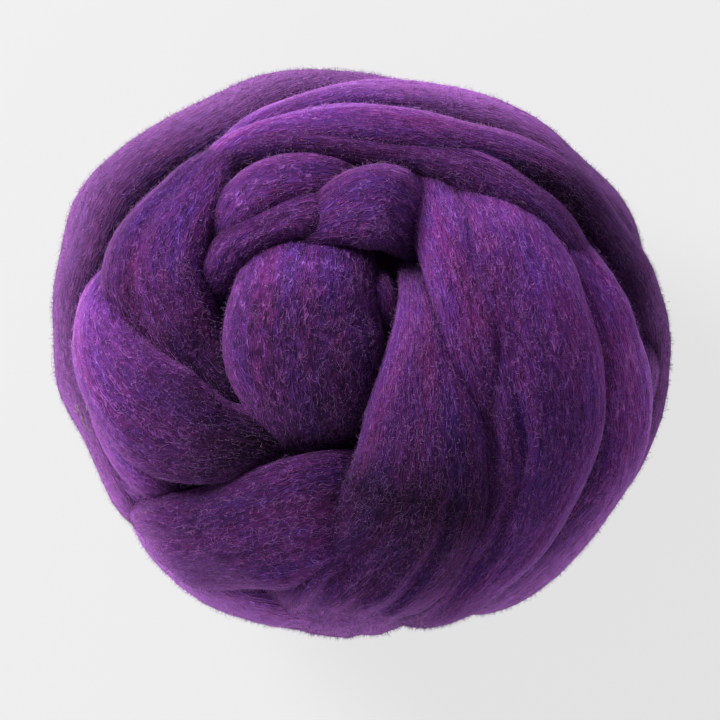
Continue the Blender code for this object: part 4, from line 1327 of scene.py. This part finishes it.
# ---- the studio ---------------------------------------------------------------------------
CAMERA_HEIGHT = 1.80            # m over the floor
SENSOR = 36                     # mm
FIELD = 0.1665                  # m across the view at the ball's widest level
CAMERA_XY = (-0.0004, -0.0014)  # m
SEES_TO = 20                    # m
FLOOR_HALF = 3.0                # m
FLOOR = (0.14, 0.14, 0.14)
FLOOR_GLOW = 0.725
SKY = (0.95, 0.96, 1.0)
SKY_OVERHEAD, SKY_LOW, SKY_FALL = 0.12, 1.90, 4.0   # dim overhead, bright all round low down
# name, place in m, size in m, power in W, colour
LIGHTS = [
    ("key", (-1.10, 0.88, 0.68), 0.60, 38.0, (1.0, 0.99, 0.97)),
    ("low_fill", (-0.80, -1.30, 0.22), 0.80, 10.0, (1.0, 0.99, 0.98)),
]


def set_camera():
    """A camera straight over the ball, high up, as with a long lens."""
    camera = bpy.data.cameras.new("camera")
    camera.sensor_width = SENSOR
    camera.lens = SENSOR * (CAMERA_HEIGHT - WIDEST * MM) / FIELD
    camera.clip_end = SEES_TO
    holder = bpy.data.objects.new("camera", camera)
    holder.location = (*CAMERA_XY, CAMERA_HEIGHT)
    bpy.context.scene.collection.objects.link(holder)
    bpy.context.scene.camera = holder


def set_lights():
    """Two soft lamps that face the ball."""
    for name, place, size, power, color in LIGHTS:
        lamp = bpy.data.lights.new(name, "AREA")
        lamp.size, lamp.energy, lamp.color = size, power, color
        holder = bpy.data.objects.new(name, lamp)
        holder.location = place
        holder.rotation_euler = (-Vector(place)).to_track_quat("-Z", "Y").to_euler()
        bpy.context.scene.collection.objects.link(holder)


def set_floor():
    """A pale floor with a glow of its own, so that its shadows stay faint."""
    mesh = bpy.data.meshes.new("floor")
    corners = [(x * FLOOR_HALF, y * FLOOR_HALF, 0) for x, y in ((-1, -1), (1, -1), (1, 1), (-1, 1))]
    mesh.from_pydata(corners, [], [(0, 1, 2, 3)])
    material = empty_material(
        "pale floor", Base_Color=(*FLOOR, 1), Roughness=0.9, Specular_IOR_Level=0.1,
        Emission_Color=(1, 1, 1, 1), Emission_Strength=FLOOR_GLOW)[0]
    mesh.materials.append(material)
    floor = bpy.data.objects.new("floor", mesh)
    bpy.context.scene.collection.objects.link(floor)


def set_sky():
    """Soft light from all round, stronger near the horizon."""
    world = bpy.data.worlds.new("soft sky")
    bpy.context.scene.world = world
    world.use_nodes = True
    tree = world.node_tree
    way = tree.nodes.new("ShaderNodeTexCoord")
    split = tree.nodes.new("ShaderNodeSeparateXYZ")
    link(tree, way.outputs["Generated"], split.inputs[0])
    height = maths(tree, "MAXIMUM", split.outputs["Z"], 0.0)
    low = maths(tree, "POWER", maths(tree, "SUBTRACT", 1.0, height), SKY_FALL)
    strength = maths(tree, "ADD", maths(tree, "MULTIPLY", low, SKY_LOW), SKY_OVERHEAD)
    back = tree.nodes["Background"]
    back.inputs["Color"].default_value = (*SKY, 1)
    link(tree, strength, back.inputs["Strength"])
    bpy.context.scene.view_settings.view_transform = "Standard"


# ---- putting it together --------------------------------------------------------------------
def dress_ball():
    """All pieces of the ball: its turns, the filled inside and the loose fibres."""
    streaks, threads, heather, crease_shade = streak_group(), thread_group(), heather_group(), crease_shade_group()
    wool, fibre = wool_material(streaks, threads, heather, crease_shade), fibre_material(heather, crease_shade)
    turns = {name: wound_turn(name, stations, number + 1)
             for number, (name, stations) in enumerate(all_turns().items())}
    wound = list(turns.values())
    tree = skin_tree(wound)
    measure_openness(wound, tree)
    for piece, names in PIECES.items():
        turn_piece(piece, [turns[name] for name in names], wool)
    turn_piece("wool_core", [core_turn()], wool)
    scatter_fibres(wound, tree, fibre)
    nap_piece(wound, tree, fibre)
    pale_piece(wound, tree, undyed_material())


set_camera()
set_lights()
set_floor()
set_sky()
dress_ball()
